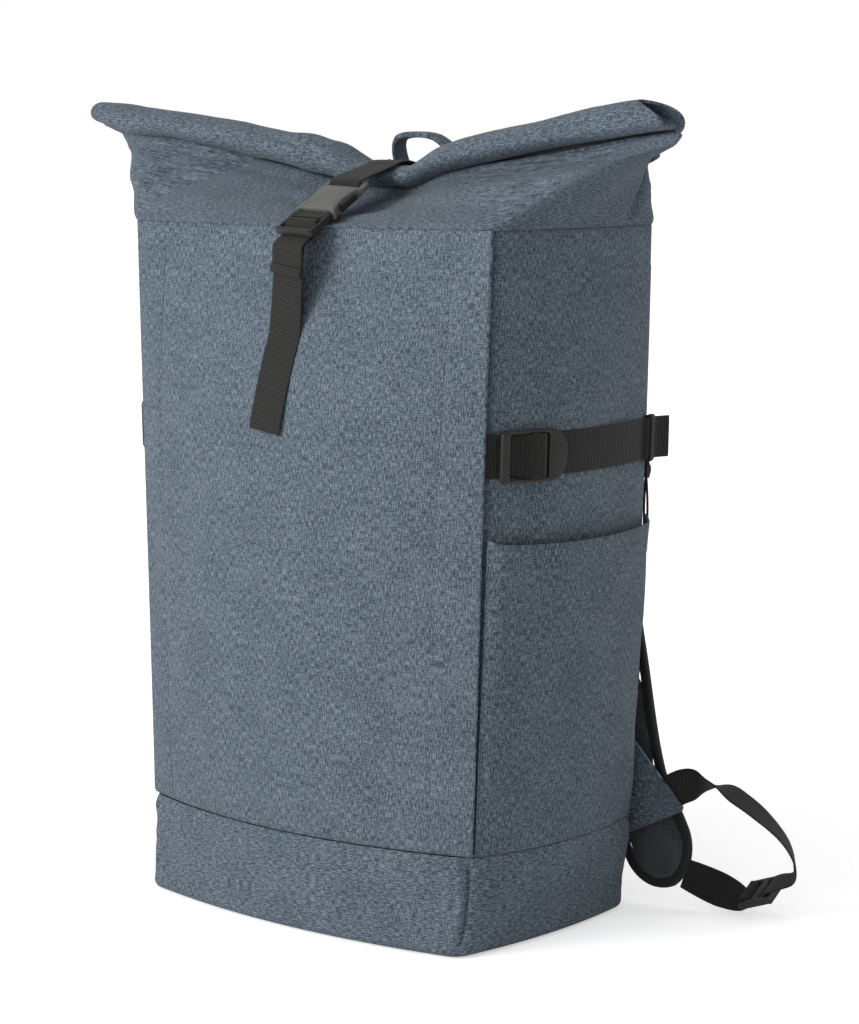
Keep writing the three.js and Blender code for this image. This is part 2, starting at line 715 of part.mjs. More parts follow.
// Side strap: from under the front panel's lip, through the slider over its bar, along the side
// and through the keeper at the back corner into a tail that stands out.
function sideStrapBand() {
  const { origin, rearward, upward, outward } = sideFrame(sliderMiddle, sideStrap.height);
  const offset = clearance + webbing.thickness / 2;
  const onSkin = (around) => new THREE.Vector3(...skin(around, sideStrap.height, -offset));
  const local = (depth, out) =>
    origin
      .clone()
      .addScaledVector(rearward, depth - sliderMiddle)
      .addScaledVector(outward, out);
  const overBar = sliderBack + slider.thickness + offset;
  const pastKeeper = (distance) => keeperCentre.clone().addScaledVector(keeper.along, distance);
  const places = [
    onSkin(1.72),
    onSkin(1.9),
    local(slider.start + 4, offset - 1),
    local(slider.start + 9, offset),
    local(slider.windowEnd - 4.5, overBar - 2),
    local(slider.windowEnd - 0.8, overBar),
    local(slider.barEnd + 0.8, overBar),
    local(slider.barEnd + 2.7, overBar - 2),
    local(slider.slotEnd - 1.6, offset + 1.4),
    local(slider.slotEnd + 1.2, offset),
    ...spaced(2.32, 2.96, 7).map(onSkin),
    pastKeeper(-sideStrap.keeperLength / 2 - 2),
    pastKeeper(0),
    pastKeeper(sideStrap.tailStandout),
  ];
  const stations = places.map((at) => ({ at, across: upward }));
  return strap(stations, webbing.sideWidth, webbing.thickness);
}

function strapKeeper() {
  const insideX = webbing.thickness / 2 + clearance;
  const insideY = webbing.sideWidth / 2 + clearance;
  const wall = sideStrap.keeperWall;
  const outline = roundedOutline(-insideX - wall, insideX + wall, -insideY - wall, insideY + wall, 1);
  outline.holes.push(roundedOutline(-insideX, insideX, -insideY, insideY, 0.3, THREE.Path));
  const ringSolid = plate(outline, sideStrap.keeperLength, 0, 2);
  const strapUp = sideFrame(sliderMiddle, sideStrap.height).upward;
  const second = strapUp.clone().addScaledVector(keeper.along, -strapUp.dot(keeper.along)).normalize();
  const third = keeper.along.clone().negate();
  const first = new THREE.Vector3().crossVectors(second, third);
  return placed(ringSolid, keeperCentre, first, second, third);
}

const zipAround = 3.62;

function zipTape() {
  const halfTurn = zip.width / 2 / (quarter * body.backRadius);
  const stations = spaced(zipAround - halfTurn, zipAround + halfTurn, 3);
  const levels = spaced(zip.bottom, zip.top, 10);
  const grid = (outset) => levels.map((z) => stations.map((around) => skin(around, z, -outset)));
  return wallBetween(grid(clearance + zip.thickness), grid(clearance));
}

const zipSeat = cornerFrame(zipAround, zip.sliderHeight);
const zipSliderSize = { width: 8, height: 12, thickness: 4 };

function zipSlider() {
  const { width, height, thickness } = zipSliderSize;
  const outline = roundedOutline(-width / 2, width / 2, -height / 2, height / 2, 2);
  const lift = 2 * clearance + zip.thickness + thickness / 2;
  const centre = zipSeat.at.clone().addScaledVector(zipSeat.outward, lift);
  return placed(plate(outline, thickness, 0, 2), centre, zipSeat.along, up, zipSeat.outward);
}

// Loop of thin cord on the zip's slider, hanging flat against the corner.
function zipPuller() {
  const half = zip.pullerWidth / 2;
  const cord = zip.cord;
  const outline = roundedOutline(-half, half, -zip.pullerDrop, 0, half - 0.4);
  outline.holes.push(
    roundedOutline(-half + cord, half - cord, -zip.pullerDrop + cord, -cord, half - cord - 0.4, THREE.Path),
  );
  const lift = 2 * clearance + zip.thickness + zipSliderSize.thickness / 2;
  const top = zipSeat.at
    .clone()
    .addScaledVector(zipSeat.outward, lift)
    .addScaledVector(up, -zipSliderSize.height / 2 - clearance);
  return placed(plate(outline, cord, 0, 2), top, zipSeat.along, up, zipSeat.outward);
}

// Places along a half turn round a bar, from the side away from the normal to the side towards it.
function barWrap(centre, towards, normal, radius, steps = 4) {
  return spaced(-quarter, quarter, steps).map((angle) =>
    centre
      .clone()
      .addScaledVector(towards, radius * Math.cos(angle))
      .addScaledVector(normal, radius * Math.sin(angle)),
  );
}

const wrapRadius = (bar, thickness) =>
  Math.hypot(bar / 2, thickness / 2) + clearance + webbing.thickness / 2;

// The closure buckle lies on the collar from its bar, in front of the panel, up to the roll.
const buckleTotal = buckle.maleLength + buckle.femaleLength + buckle.endLoop;
const closureAcross = (z) => closure.sewnAcross + closure.lean * (z - closure.sewnHeight);
const barStand = frontPanel.thickness + closure.barStandoff;
const barFoot = new THREE.Vector3(
  ...frontPoint(closureAcross(closure.barHeight), closure.barHeight, barStand),
);
const rollFront = new THREE.Vector3(...rollPoint(closureAcross(roll.lowestHeight), 0.72, -4));
const buckleAlong = rollFront.clone().sub(barFoot).normalize();
const buckleAcross = right.clone().addScaledVector(buckleAlong, -buckleAlong.x).normalize();
const buckleOut = new THREE.Vector3().crossVectors(buckleAcross, buckleAlong).normalize();
const collarMiddle = spaced(0, 1, 12).map((share) => new THREE.Vector3(...collarPoint(0.5, share)));
const highestUnder = Math.max(...collarMiddle.map((point) => point.clone().sub(barFoot).dot(buckleOut)));
const barCentre = barFoot
  .clone()
  .addScaledVector(buckleOut, highestUnder + buckle.femaleThickness / 2 + clearance);
const alongBuckle = (distance) => barCentre.clone().addScaledVector(buckleAlong, distance);

// Male half: a frame with its adjusting bar at the bottom, and the prongs' root.
function buckleMale() {
  const half = buckle.width / 2 - 2;
  const inside = webbing.closureWidth / 2 + clearance;
  const windowTop = buckle.bar / 2 + buckle.window;
  const outline = roundedOutline(-half, half, -buckle.bar / 2, buckle.maleLength - clearance, 2);
  outline.holes.push(roundedOutline(-inside, inside, buckle.bar / 2, windowTop, 1, THREE.Path));
  return placed(plate(outline, buckle.frameThickness), barCentre, buckleAcross, buckleAlong, buckleOut);
}

// Female half: a waisted body, and a thinner loop at its end that holds the webbing.
function buckleFemale() {
  const half = buckle.width / 2;
  const start = buckle.maleLength;
  const end = start + buckle.femaleLength;
  const middle = (start + end) / 2;
  const outline = new THREE.Shape();
  outline.moveTo(-half, start);
  outline.lineTo(half, start);
  outline.quadraticCurveTo(half - buckle.waist, start + 3, half - buckle.waist, middle);
  outline.quadraticCurveTo(half - buckle.waist, end - 4, half, end);
  outline.lineTo(-half, end);
  outline.quadraticCurveTo(-(half - buckle.waist), end - 4, -(half - buckle.waist), middle);
  outline.quadraticCurveTo(-(half - buckle.waist), start + 3, -half, start);
  const inside = webbing.closureWidth / 2 + clearance;
  const loopEnd = end + buckle.endLoop;
  const loop = roundedOutline(-half, half, end - 2, loopEnd, 2);
  loop.holes.push(roundedOutline(-inside, inside, end, loopEnd - buckle.rail, 1, THREE.Path));
  const bodySolid = toManifold(plate(outline, buckle.femaleThickness, 0, 4));
  const joined = bodySolid.add(toManifold(plate(loop, buckle.bar, 0, 2)));
  return placed(fromManifold(joined), barCentre, buckleAcross, buckleAlong, buckleOut);
}

// Closure webbing: sewn to the front, up behind the buckle's bar, round it and down into a tail.
function closureStrap() {
  const lift = frontPanel.thickness + 2 * clearance + webbing.thickness / 2;
  const onFront = (z, extra = 0) => new THREE.Vector3(...frontPoint(closureAcross(z), z, lift + extra));
  const radius = wrapRadius(buckle.bar, buckle.frameThickness);
  const wrap = barWrap(barCentre, buckleAlong, buckleOut, radius);
  const lowest = closure.barHeight - closure.tailLength;
  const overPanel = panelHeights.filter((z) => z > closure.sewnHeight + 8 && z < closure.barHeight - 8);
  const alongPanel = (z) => {
    const x = closureAcross(z);
    const ahead = new THREE.Vector3(...frontPoint(x + 1, z, 0));
    return ahead.sub(new THREE.Vector3(...frontPoint(x - 1, z, 0))).normalize();
  };
  const flat = (z, extra = 0) => ({ at: onFront(z, extra), across: alongPanel(z) });
  const tilted = (at) => ({ at, across: buckleAcross });
  const leaving = flat(overPanel[overPanel.length - 1]);
  const underBar = alongBuckle(-radius).addScaledVector(buckleOut, radius * 0.9);
  const stations = [
    flat(closure.sewnHeight),
    ...overPanel.map((z) => flat(z)),
    {
      at: leaving.at.clone().lerp(wrap[0], 0.5),
      across: leaving.across.clone().lerp(buckleAcross, 0.5),
    },
    ...wrap.map(tilted),
    tilted(underBar),
    flat(lowest, webbing.thickness + clearance + 1.5),
  ];
  return strap(stations, webbing.closureWidth, webbing.thickness);
}

// Point on the collar's back at a share of its height, lifted off it along its normal.
function onCollarBack(around, share, lift) {
  return new THREE.Vector3(...collarPoint(around, share)).addScaledVector(collarNormal(around, share), lift);
}

// Webbing over the roll: a sewn loop on the buckle's end bar, over the roll and down the collar.
function overRollStrap() {
  const endBar = alongBuckle(buckleTotal - buckle.rail / 2);
  const back = buckleAlong.clone().negate();
  const wrap = barWrap(endBar, back, buckleOut, wrapRadius(buckle.rail, buckle.bar));
  const lift = clearance + webbing.thickness / 2;
  const top = closureAcross(roll.lowestHeight + roll.height / 2);
  const rollEase = 2.8;
  const collarEase = 1;
  const overRoll = spaced(0.58, 0.3, 6).map((turn) => {
    const across = spaced(-1, 1, 4).map((share) =>
      rollPoint(top + (share * webbing.closureWidth) / 2, turn, -lift - rollEase),
    );
    return new THREE.Vector3(top, across[2][1], Math.max(...across.map(([, , z]) => z)));
  });
  const downBack = [...collarShares]
    .reverse()
    .filter((share) => share > 0.1 && share < 0.9)
    .map((share) => onCollarBack(4.5, share, lift + collarEase + 1.6 * share ** 2));
  const looseEnd = wrap[0]
    .clone()
    .addScaledVector(buckleAlong, 3)
    .addScaledVector(buckleOut, 0.4);
  const stations = [
    ...[looseEnd, ...wrap].map((at) => ({ at, across: buckleAcross })),
    ...[...overRoll, ...downBack].map((at) => ({ at, across: right })),
  ];
  return strap(stations, webbing.closureWidth, webbing.thickness);
}

// Handle: a folded strip whose feet lie on the collar's back and whose middle stands as an arch.
function carryHandle() {
  const lift = handle.lift + handle.thickness / 2;
  const foot = (side, reach) => {
    const around = 4.5 - (side * (handle.halfSpan + reach)) / (2 * body.topHalfWidth);
    return onCollarBack(around, handle.footShare, lift);
  };
  const footAround = 4.5 - handle.halfSpan / (2 * body.topHalfWidth);
  const slope = onCollarBack(footAround, handle.footShare + 0.05, lift)
    .sub(onCollarBack(footAround, handle.footShare - 0.05, lift))
    .setX(0)
    .normalize();
  const level = new THREE.Vector3(0, -1, 0);
  const rising = spaced(0.16, 1, 5).map((share) => {
    const start = foot(1, 0);
    const height = Math.sin(share * quarter);
    return {
      at: new THREE.Vector3(
        start.x * Math.cos(share * quarter) ** 0.8,
        THREE.MathUtils.lerp(start.y, handle.topDepth, height),
        THREE.MathUtils.lerp(start.z, handle.top, height),
      ),
      across: slope.clone().lerp(level, height).normalize(),
    };
  });
  const footEnds = [handle.footLength, 3].map((reach) => ({ at: foot(1, reach), across: slope }));
  const rightHalf = [...footEnds, ...rising];
  const leftHalf = rightHalf
    .slice(0, -1)
    .reverse()
    .map(({ at, across }) => ({ at: at.clone().setX(-at.x), across }));
  return strap([...rightHalf, ...leftHalf], handle.width, handle.thickness);
}

// Point behind the back skin at a place across and a height.
function backPoint(x, z, outset) {
  const swell = (1 - (x / halfWidthAt(z)) ** 2) * body.backBulge * bulgeAt('back', z);
  return [x, backDepthAt(z) + swell + outset, z];
}

function paddedBack() {
  const shares = spaced(-1, 1, 8);
  const levels = spaced(backPad.bottom, backPad.top, 8);
  const rounding = (share) => 1 - 0.5 * share ** 8;
  const middle = (backPad.bottom + backPad.top) / 2;
  const half = (backPad.top - backPad.bottom) / 2;
  const grid = (thickness) =>
    levels.map((z) =>
      shares.map((share) => {
        const full = thickness * rounding(share) * rounding((z - middle) / half);
        return backPoint(share * backPad.halfWidth, z, clearance + full);
      }),
    );
  return wallBetween(grid(backPad.thickness), grid(0));
}

function shoulderYoke() {
  const shares = spaced(-1, 1, 6);
  const ends = [yoke.centreHeight - yoke.height / 2, yoke.centreHeight + yoke.height / 2];
  const start = backPad.thickness + 2 * clearance;
  const row = (z, outset) => shares.map((share) => backPoint(share * yoke.halfWidth, z, outset));
  const grid = (outset) => ends.map((z) => row(z, outset));
  return wallBetween(grid(start + yoke.thickness), grid(start));
}

// Middle line of the right shoulder pad at a height share.
function padMiddle(height) {
  const value = (column) => tableValue(padRowsUpwards, 'height', column, height);
  const z = height * body.seamHeight;
  const x = value('across') * body.baseHalfWidth;
  const stand = backPad.thickness + yoke.thickness + 3 * clearance + shoulderPad.thickness / 2;
  return new THREE.Vector3(...backPoint(x, z, stand + padBow * value('bow')));
}

const padRowsUpwards = [...padRows].reverse();

const padEnd = padRows[padRows.length - 1];

function padStations() {
  const top = padRows[0].height;
  const rows = spaced(top, padEnd.height, 12).map((height) => ({
    at: padMiddle(height),
    width: tableValue(padRowsUpwards, 'height', 'width', height),
  }));
  const last = rows[rows.length - 1];
  const before = rows[rows.length - 2];
  const onward = last.at.clone().sub(before.at).normalize();
  const radius = (last.width * shoulderPad.width) / 2;
  const round = [0.3, 0.58, 0.8, 0.94, 0.995].map((share) => ({
    at: last.at.clone().addScaledVector(onward, radius * share),
    width: last.width * Math.sqrt(1 - share ** 2),
  }));
  return { stations: [...rows, ...round], centre: last.at, onward, radius };
}

// Padded shoulder strap, thickest in its middle and thin at its bound edge.
function shoulderStrap() {
  const { stations } = padStations();
  const shares = [-1, -0.78, 0, 0.78, 1];
  const thicknessAt = (share) => (Math.abs(share) > 0.9 ? shoulderPad.edge : shoulderPad.thickness);
  const grid = (face) =>
    stations.map((station, i) => {
      const before = stations[Math.max(i - 1, 0)].at;
      const after = stations[Math.min(i + 1, stations.length - 1)].at;
      const tangent = new THREE.Vector3().subVectors(after, before).normalize();
      const normal = new THREE.Vector3(0, 1, 0).addScaledVector(tangent, -tangent.y).normalize();
      const across = new THREE.Vector3().crossVectors(normal, tangent).normalize();
      const half = (station.width * shoulderPad.width) / 2;
      return shares.map((share) =>
        station.at
          .clone()
          .addScaledVector(across, share * half)
          .addScaledVector(normal, (face * thicknessAt(share)) / 2)
          .toArray(),
      );
    });
  return wallBetween(grid(1), grid(-1));
}

const wingSeat = 4;

// Triangular tab sewn beside the back panel; the shoulder webbing is sewn behind its long edge.
function wingFrame() {
  const low = new THREE.Vector3(...skin(wingSeat, wing.rootBottom, -clearance));
  const high = new THREE.Vector3(...skin(wingSeat, wing.rootTop, -clearance));
  const upward = high.clone().sub(low).setX(0).normalize();
  const outward = new THREE.Vector3().crossVectors(upward, right).normalize();
  return { low, upward, outward };
}

function wingTab() {
  const { low, upward, outward } = wingFrame();
  const rise = wing.rootTop - wing.rootBottom;
  const outline = new THREE.Shape();
  outline.moveTo(0, 0);
  outline.lineTo(wing.tipX - low.x - 2, wing.tipHeight - wing.rootBottom - 1.5);
  outline.lineTo(wing.tipX - low.x - 1, wing.tipHeight - wing.rootBottom + 1.5);
  outline.lineTo(wing.rootX - low.x + 8, rise);
  outline.lineTo(0, rise);
  outline.closePath();
  return placed(plate(outline, wing.thickness, -wing.thickness / 2), low, right, upward, outward.negate());
}

const lock = {
  centre: new THREE.Vector3(...lockCentre),
  along: new THREE.Vector3(...lockDirection).normalize(),
};
lock.across = new THREE.Vector3(...lockAcross)
  .addScaledVector(lock.along, -new THREE.Vector3(...lockAcross).dot(lock.along))
  .normalize();
lock.normal = new THREE.Vector3().crossVectors(lock.along, lock.across).normalize();
const lockBarAt = ladderLock.length / 2 - ladderLock.bar / 2;
const onLock = (along, out) =>
  lock.centre
    .clone()
    .addScaledVector(lock.along, along)
    .addScaledVector(lock.normal, out);

function ladderLockFrame() {
  const half = ladderLock.width / 2;
  const inside = webbing.shoulderWidth / 2 + clearance;
  const end = ladderLock.length / 2;
  const outline = roundedOutline(-end, end, -half, half, 3);
  const innerEnd = end - ladderLock.bar;
  outline.holes.push(
    roundedOutline(-innerEnd, -innerEnd + ladderLock.window, -inside, inside, 1, THREE.Path),
    roundedOutline(innerEnd - ladderLock.window, innerEnd, -inside, inside, 1, THREE.Path),
  );
  const frame = plate(outline, ladderLock.thickness, 0, 1);
  return placed(frame, lock.centre, lock.along, lock.across, lock.normal);
}

// Long webbing: from behind the wing out, down and back to the ladder lock's far bar.
function shoulderWebbing() {
  const radius = wrapRadius(ladderLock.bar, ladderLock.thickness);
  const wrap = barWrap(onLock(lockBarAt, 0), lock.along.clone().negate(), lock.normal, radius).reverse();
  const route = webbingRoute.map(({ at, across }) => ({
    at: new THREE.Vector3(...at),
    across: new THREE.Vector3(...across),
  }));
  const approach = onLock(lockBarAt + radius, radius + clearance);
  const ends = [approach, ...wrap].map((at) => ({ at, across: lock.across.clone() }));
  return strap([...route, ...ends], webbing.shoulderWidth, webbing.thickness);
}

// Short webbing from the pad's round end to the ladder lock's near bar.
function lowerWebbing() {
  const { centre, radius } = padStations();
  const leaves = new THREE.Vector3(0.8, 0, -0.6);
  const start = centre.clone().addScaledVector(leaves, radius + 3.5 * clearance);
  const wrapped = wrapRadius(ladderLock.bar, ladderLock.thickness);
  const approach = onLock(-lockBarAt - wrapped, -wrapped - clearance);
  const wrap = barWrap(onLock(-lockBarAt, 0), lock.along, lock.normal, wrapped);
  const stationsIn = [
    { at: start, across: new THREE.Vector3(0.6, 0, 0.8) },
    { at: start.clone().lerp(approach, 0.4), across: new THREE.Vector3(0.42, 0.35, 0.84) },
    { at: start.clone().lerp(approach, 0.75), across: new THREE.Vector3(0.1, 0.75, 0.6) },
  ];
  const ends = [approach, ...wrap].map((at) => ({ at, across: lock.across.clone() }));
  return strap([...stationsIn, ...ends], webbing.shoulderWidth, webbing.thickness);
}

const bag = new THREE.Group();

function addPiece(name, geometry, material) {
  const piece = new THREE.Mesh(geometry, material);
  piece.name = name;
  bag.add(piece);
}

function addPair(name, geometry, material) {
  addPiece(`${name}_right`, geometry, material);
  addPiece(`${name}_left`, mirrored(geometry), material);
}

const { cloth, plastic, mesh } = materials;
const strapCloth = materials.webbing;
const sideStations = [
  1 - frontWrap,
  ...spaced(1, 2, 3).slice(0, -1),
  ...spaced(2, 3, 8).slice(0, -1),
  3,
  3.25,
  backRightSeam - seamGap,
];
const backStations = [
  backRightSeam + seamGap,
  3.75,
  ...spaced(4, 5, 8),
  5.25,
  backLeftSeam - seamGap,
];

addPiece('base_band', baseBand(), cloth);
addPiece('base_panel', basePanel(), cloth);
addPiece('front_panel', frontPocketPanel(), cloth);
addPair('side_panel', shellPanel(sideStations), cloth);
addPiece('back_panel', shellPanel(backStations), cloth);
addPiece('collar', collarLoft(), cloth);
addPiece('rolled_top', rolledTop(), cloth);
addPair('side_pocket', sidePocket(), cloth);
addPiece('closure_strap', closureStrap(), strapCloth);
addPiece('buckle_male', buckleMale(), plastic);
addPiece('buckle_female', buckleFemale(), plastic);
addPiece('over_roll_strap', overRollStrap(), strapCloth);
addPair('side_strap', sideStrapBand(), strapCloth);
addPair('side_slider', sideSlider(), plastic);
addPair('strap_keeper', strapKeeper(), strapCloth);
addPiece('carry_handle', carryHandle(), cloth);
addPiece('back_pad', paddedBack(), mesh);
addPiece('shoulder_yoke', shoulderYoke(), cloth);
addPair('shoulder_pad', shoulderStrap(), mesh);
addPair('wing_tab', wingTab(), cloth);
addPair('shoulder_webbing', shoulderWebbing(), strapCloth);
addPair('lower_webbing', lowerWebbing(), strapCloth);
addPair('ladder_lock', ladderLockFrame(), plastic);
addPiece('zip_tape', zipTape(), strapCloth);
addPiece('zip_slider', zipSlider(), plastic);
addPiece('zip_puller', zipPuller(), strapCloth);

export default bag;
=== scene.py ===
"""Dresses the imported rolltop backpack: cloth, webbing, pads and buckles as finished surfaces.

Lengths in this file are millimetres until a mesh is made, which is in metres. X runs to the right
of someone who faces the front, the front faces -Y and Z is up.
"""
import math

import bmesh
import bpy
import numpy as np
from mathutils import Matrix, Vector


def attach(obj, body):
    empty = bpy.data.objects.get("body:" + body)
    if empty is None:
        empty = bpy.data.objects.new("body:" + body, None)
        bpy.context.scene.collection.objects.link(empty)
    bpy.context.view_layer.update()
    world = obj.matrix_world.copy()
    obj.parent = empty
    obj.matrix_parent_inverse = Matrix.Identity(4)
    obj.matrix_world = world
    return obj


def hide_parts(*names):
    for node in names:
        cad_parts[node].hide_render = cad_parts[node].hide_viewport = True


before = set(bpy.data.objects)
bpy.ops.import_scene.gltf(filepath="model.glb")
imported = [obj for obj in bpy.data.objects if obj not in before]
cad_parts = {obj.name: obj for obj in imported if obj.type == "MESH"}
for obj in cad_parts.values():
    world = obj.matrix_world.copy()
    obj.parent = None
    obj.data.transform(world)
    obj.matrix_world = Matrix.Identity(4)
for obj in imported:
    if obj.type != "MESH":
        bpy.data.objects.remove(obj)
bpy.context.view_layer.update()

MM = 0.001
TAU = 2 * math.pi
QUARTER = math.pi / 2
CLEARANCE = 0.3

BODY = {
    "base_half": 150, "top_half": 170, "base_front": 88, "top_front": 84,
    "base_back": 95, "top_back": 101, "back_belly": 4, "band": 70, "seam": 499,
    "front_radius": 9, "back_radius": 18, "bottom_radius": 7, "band_proud": 3.3,
    "foot": 10, "foot_height": 22,
    "front_bulge": 32, "side_bulge": 19, "back_bulge": 3,
}
PANEL = {"thickness": 3, "lip_base": 4, "lip_top": 0, "hem": 31}
COLLAR = {"wall": 2, "proud": 1.6, "mouth": 257, "mouth_thickness": 6.4, "pillow": 0.45, "swell": 16,
          "fold": 8, "fold_width": 0.16, "fold_place": 2.1, "dent": 6, "dent_width": 48}
COLLAR_ENDS = {"right_top": 15.0, "right_foot": -5.0, "left_top": 12.0, "left_middle": -6.5,
               "left_foot": -3.5, "lift": 4.0, "rounding": 25}
ROLL = {"half": 266, "lowest": 533, "rise": 45, "sway": 20, "mid_depth": -18, "height": 29,
        "depth": 40, "layer": 2.6, "pitch": 4.6, "turns": 2.1, "start": -0.22,
        "cut": 27.0, "inner_cut": 44.0, "tuck": 7.0, "inner_tuck": 12.0}
POCKET = {"front": 1.62, "back": 3.4, "hem": 285, "gap": 6.4, "lift": 6, "thickness": 2}
WEBBING = {"thickness": 1.6, "closure": 30, "side": 30, "shoulder": 25}
CLOSURE = {"sewn": 356, "sewn_across": -7, "lean": 0.14, "leaves": 424, "bar": 489, "standoff": 13}
BUCKLE = {"width": 40, "rail": 4, "bar": 4, "frame": 5, "male": 23, "window": 13,
          "female": 30, "thick": 11, "loop": 9, "waist": 4, "inner_bar": 3}
SLIDER = {"height": 36, "thickness": 4, "start": -80, "window": -55, "bar": -46, "slot": -41,
          "end": -25, "rail": 7, "corner": 4}
SIDE_STRAP = {"height": 347, "keeper": 11, "keeper_wall": 1.6, "keeper_around": 3.08}
ZIP = {"bottom": 132, "top": 470, "width": 12, "thickness": 1.6, "slider": 322, "drop": 44,
       "cord": 1.8, "around": 3.62, "puller": 8, "proud": 0.25}
HANDLE = {"width": 22, "thickness": 3, "half": 42, "foot": 20, "share": 0.42, "lift": 4.8, "top": 562,
          "depth": 34}
BACK_PAD = {"half": 132, "bottom": 84, "top": 478, "thickness": 9, "corner": 26.0, "binding": 6.0}
YOKE = {"half": 96, "height": 30, "thickness": 3, "centre": 462}
PAD = {"width": 64, "thickness": 9, "edge": 5, "bow": 14, "rows": 90, "binding": 7.4}
FOAM = {
    "strap": {"voxel": 4.0, "pressure": 4.0, "travel": 1.6, "fill": 0.7},
    "back": {"voxel": 4.5, "pressure": 4.0, "travel": 2.4, "fill": 0.6},
}
CHANNEL = {"low": 205, "high": 330, "width": 5.0, "depth": 0.62}
WING = {"thickness": 2.2, "root_top": 124, "root_bottom": 45, "root_x": 141, "tip_x": 198,
        "tip": 77}
LOCK = {"width": 34, "length": 27, "thickness": 5, "bar": 4, "window": 7}

BULGE_ROWS = [
    {"height": 0.0, "front": 0.55, "side": 0.5, "back": 0.2},
    {"height": 0.14, "front": 0.86, "side": 0.95, "back": 0.6},
    {"height": 0.4, "front": 1.0, "side": 1.0, "back": 1.0},
    {"height": 0.7, "front": 1.04, "side": 1.0, "back": 1.0},
    {"height": 0.84, "front": 0.72, "side": 0.85, "back": 1.0},
    {"height": 0.93, "front": 0.3, "side": 0.7, "back": 0.8},
    {"height": 1.0, "front": 0.14, "side": 0.6, "back": 0.6},
]
ROLL_ROWS = [
    {"place": -1.0, "lift": 1.0, "sway": 1.0, "height": 0.66, "depth": 0.7},
    {"place": -0.9, "lift": 0.9, "sway": 0.93, "height": 0.9, "depth": 0.92},
    {"place": -0.71, "lift": 0.8, "sway": 0.75, "height": 0.9, "depth": 1.0},
    {"place": -0.5, "lift": 0.63, "sway": 0.55, "height": 0.95, "depth": 1.0},
    {"place": -0.24, "lift": 0.36, "sway": 0.3, "height": 1.06, "depth": 1.0},
    {"place": -0.11, "lift": 0.2, "sway": 0.14, "height": 1.06, "depth": 1.0},
    {"place": -0.02, "lift": 0.08, "sway": 0.06, "height": 0.92, "depth": 0.96},
    {"place": 0.04, "lift": 0.01, "sway": 0.0, "height": 0.74, "depth": 0.92},
    {"place": 0.12, "lift": -0.03, "sway": 0.0, "height": 0.68, "depth": 0.9},
    {"place": 0.18, "lift": 0.07, "sway": 0.0, "height": 0.7, "depth": 0.9},
    {"place": 0.27, "lift": 0.25, "sway": 0.0, "height": 0.76, "depth": 0.95},
    {"place": 0.48, "lift": 0.5, "sway": -0.02, "height": 0.92, "depth": 1.0},
    {"place": 0.68, "lift": 0.69, "sway": -0.04, "height": 1.0, "depth": 1.0},
    {"place": 0.86, "lift": 0.84, "sway": -0.05, "height": 0.94, "depth": 0.95},
    {"place": 1.0, "lift": 0.92, "sway": -0.05, "height": 0.92, "depth": 0.86},
]
PAD_ROWS = [
    {"height": 0.09, "across": 1.09, "bow": 0.0, "width": 0.98},
    {"height": 0.18, "across": 0.91, "bow": 0.1, "width": 1.0},
    {"height": 0.35, "across": 0.735, "bow": 0.6, "width": 1.0},
    {"height": 0.5, "across": 0.6, "bow": 0.95, "width": 1.0},
    {"height": 0.66, "across": 0.49, "bow": 1.0, "width": 1.0},
    {"height": 0.82, "across": 0.41, "bow": 0.55, "width": 0.96},
    {"height": 0.925, "across": 0.36, "bow": 0.0, "width": 0.9},
]
WEBBING_ROUTE = [
    {"at": (173, 102.6, 77), "across": (0.74, 0, -0.66)},
    {"at": (186.5, 103.4, 89), "across": (0.74, 0.1, -0.66)},
    {"at": (195.5, 108, 93.5), "across": (0.66, 0.42, -0.62)},
    {"at": (205.5, 114, 94.5), "across": (0.42, 0.8, -0.42)},
    {"at": (218.5, 120, 92.5), "across": (0.2, 0.96, -0.2)},
    {"at": (230.5, 124, 85.5), "across": (0.05, 1, -0.05)},
    {"at": (244.5, 127, 76.5), "across": (-0.08, 0.99, -0.06)},
    {"at": (261.5, 130, 62.5), "across": (-0.25, 0.95, -0.2)},
    {"at": (269.5, 131.5, 51.5), "across": (-0.42, 0.88, -0.24)},
    {"at": (272.5, 132.5, 41.5), "across": (-0.58, 0.81, -0.12)},
    {"at": (270.5, 133, 32), "across": (-0.56, 0.82, 0.05)},
]
LOCK_CENTRE = np.array([245, 131, 17.5])
LOCK_DIRECTION = np.array([0.94, 0.08, 0.33])
LOCK_ACROSS = np.array([-0.22, 0.92, 0.32])
SIDE_TAIL = [
    {"along": 9, "out": 2.2},
    {"along": 19, "out": 9.5},
]
SEWING = {"pitch": 3.6, "length": 2.7, "front": 0.55, "pocket": 0.5, "pocket_level": 0.905}
THREADS_PER_METRE = {"across": 1100, "along": 220, "flecks": 900, "patches": 30, "webbing": 700}

# Studio, in metres
FLOOR = {"half": 30.0, "drop": 0.0005, "near": 0.5, "far": 2.5, "near_glow": 0.5, "far_glow": 0.8}
SKY = {"light": 0.42, "seen": 1.0}
CAMERA = {"at": (1.40579, -1.58219, 0.56720), "aim": (0.02319, 0.02001, 0.28746), "lens": 102.33,
          "sensor": 36}
LAMPS = [
    {"name": "key", "azimuth": -24, "height": 1.3, "distance": 2.9, "size": 1.6, "energy": 64},
    {"name": "front", "azimuth": 28, "height": 0.9, "distance": 3.4, "size": 2.2, "energy": 12},
    {"name": "rim", "azimuth": 150, "height": 2.0, "distance": 2.8, "size": 1.6, "energy": 14},
    {"name": "top", "azimuth": 20, "height": 3.2, "distance": 0.6, "size": 2.2, "energy": 8},
]

RIGHT = np.array([1.0, 0, 0])
UP = np.array([0, 0, 1.0])


# Arithmetic of the shapes
def unit(v):
    """Vectors divided by their own length."""
    v = np.asarray(v, float)
    return v / np.maximum(np.linalg.norm(v, axis=-1, keepdims=True), 1e-9)


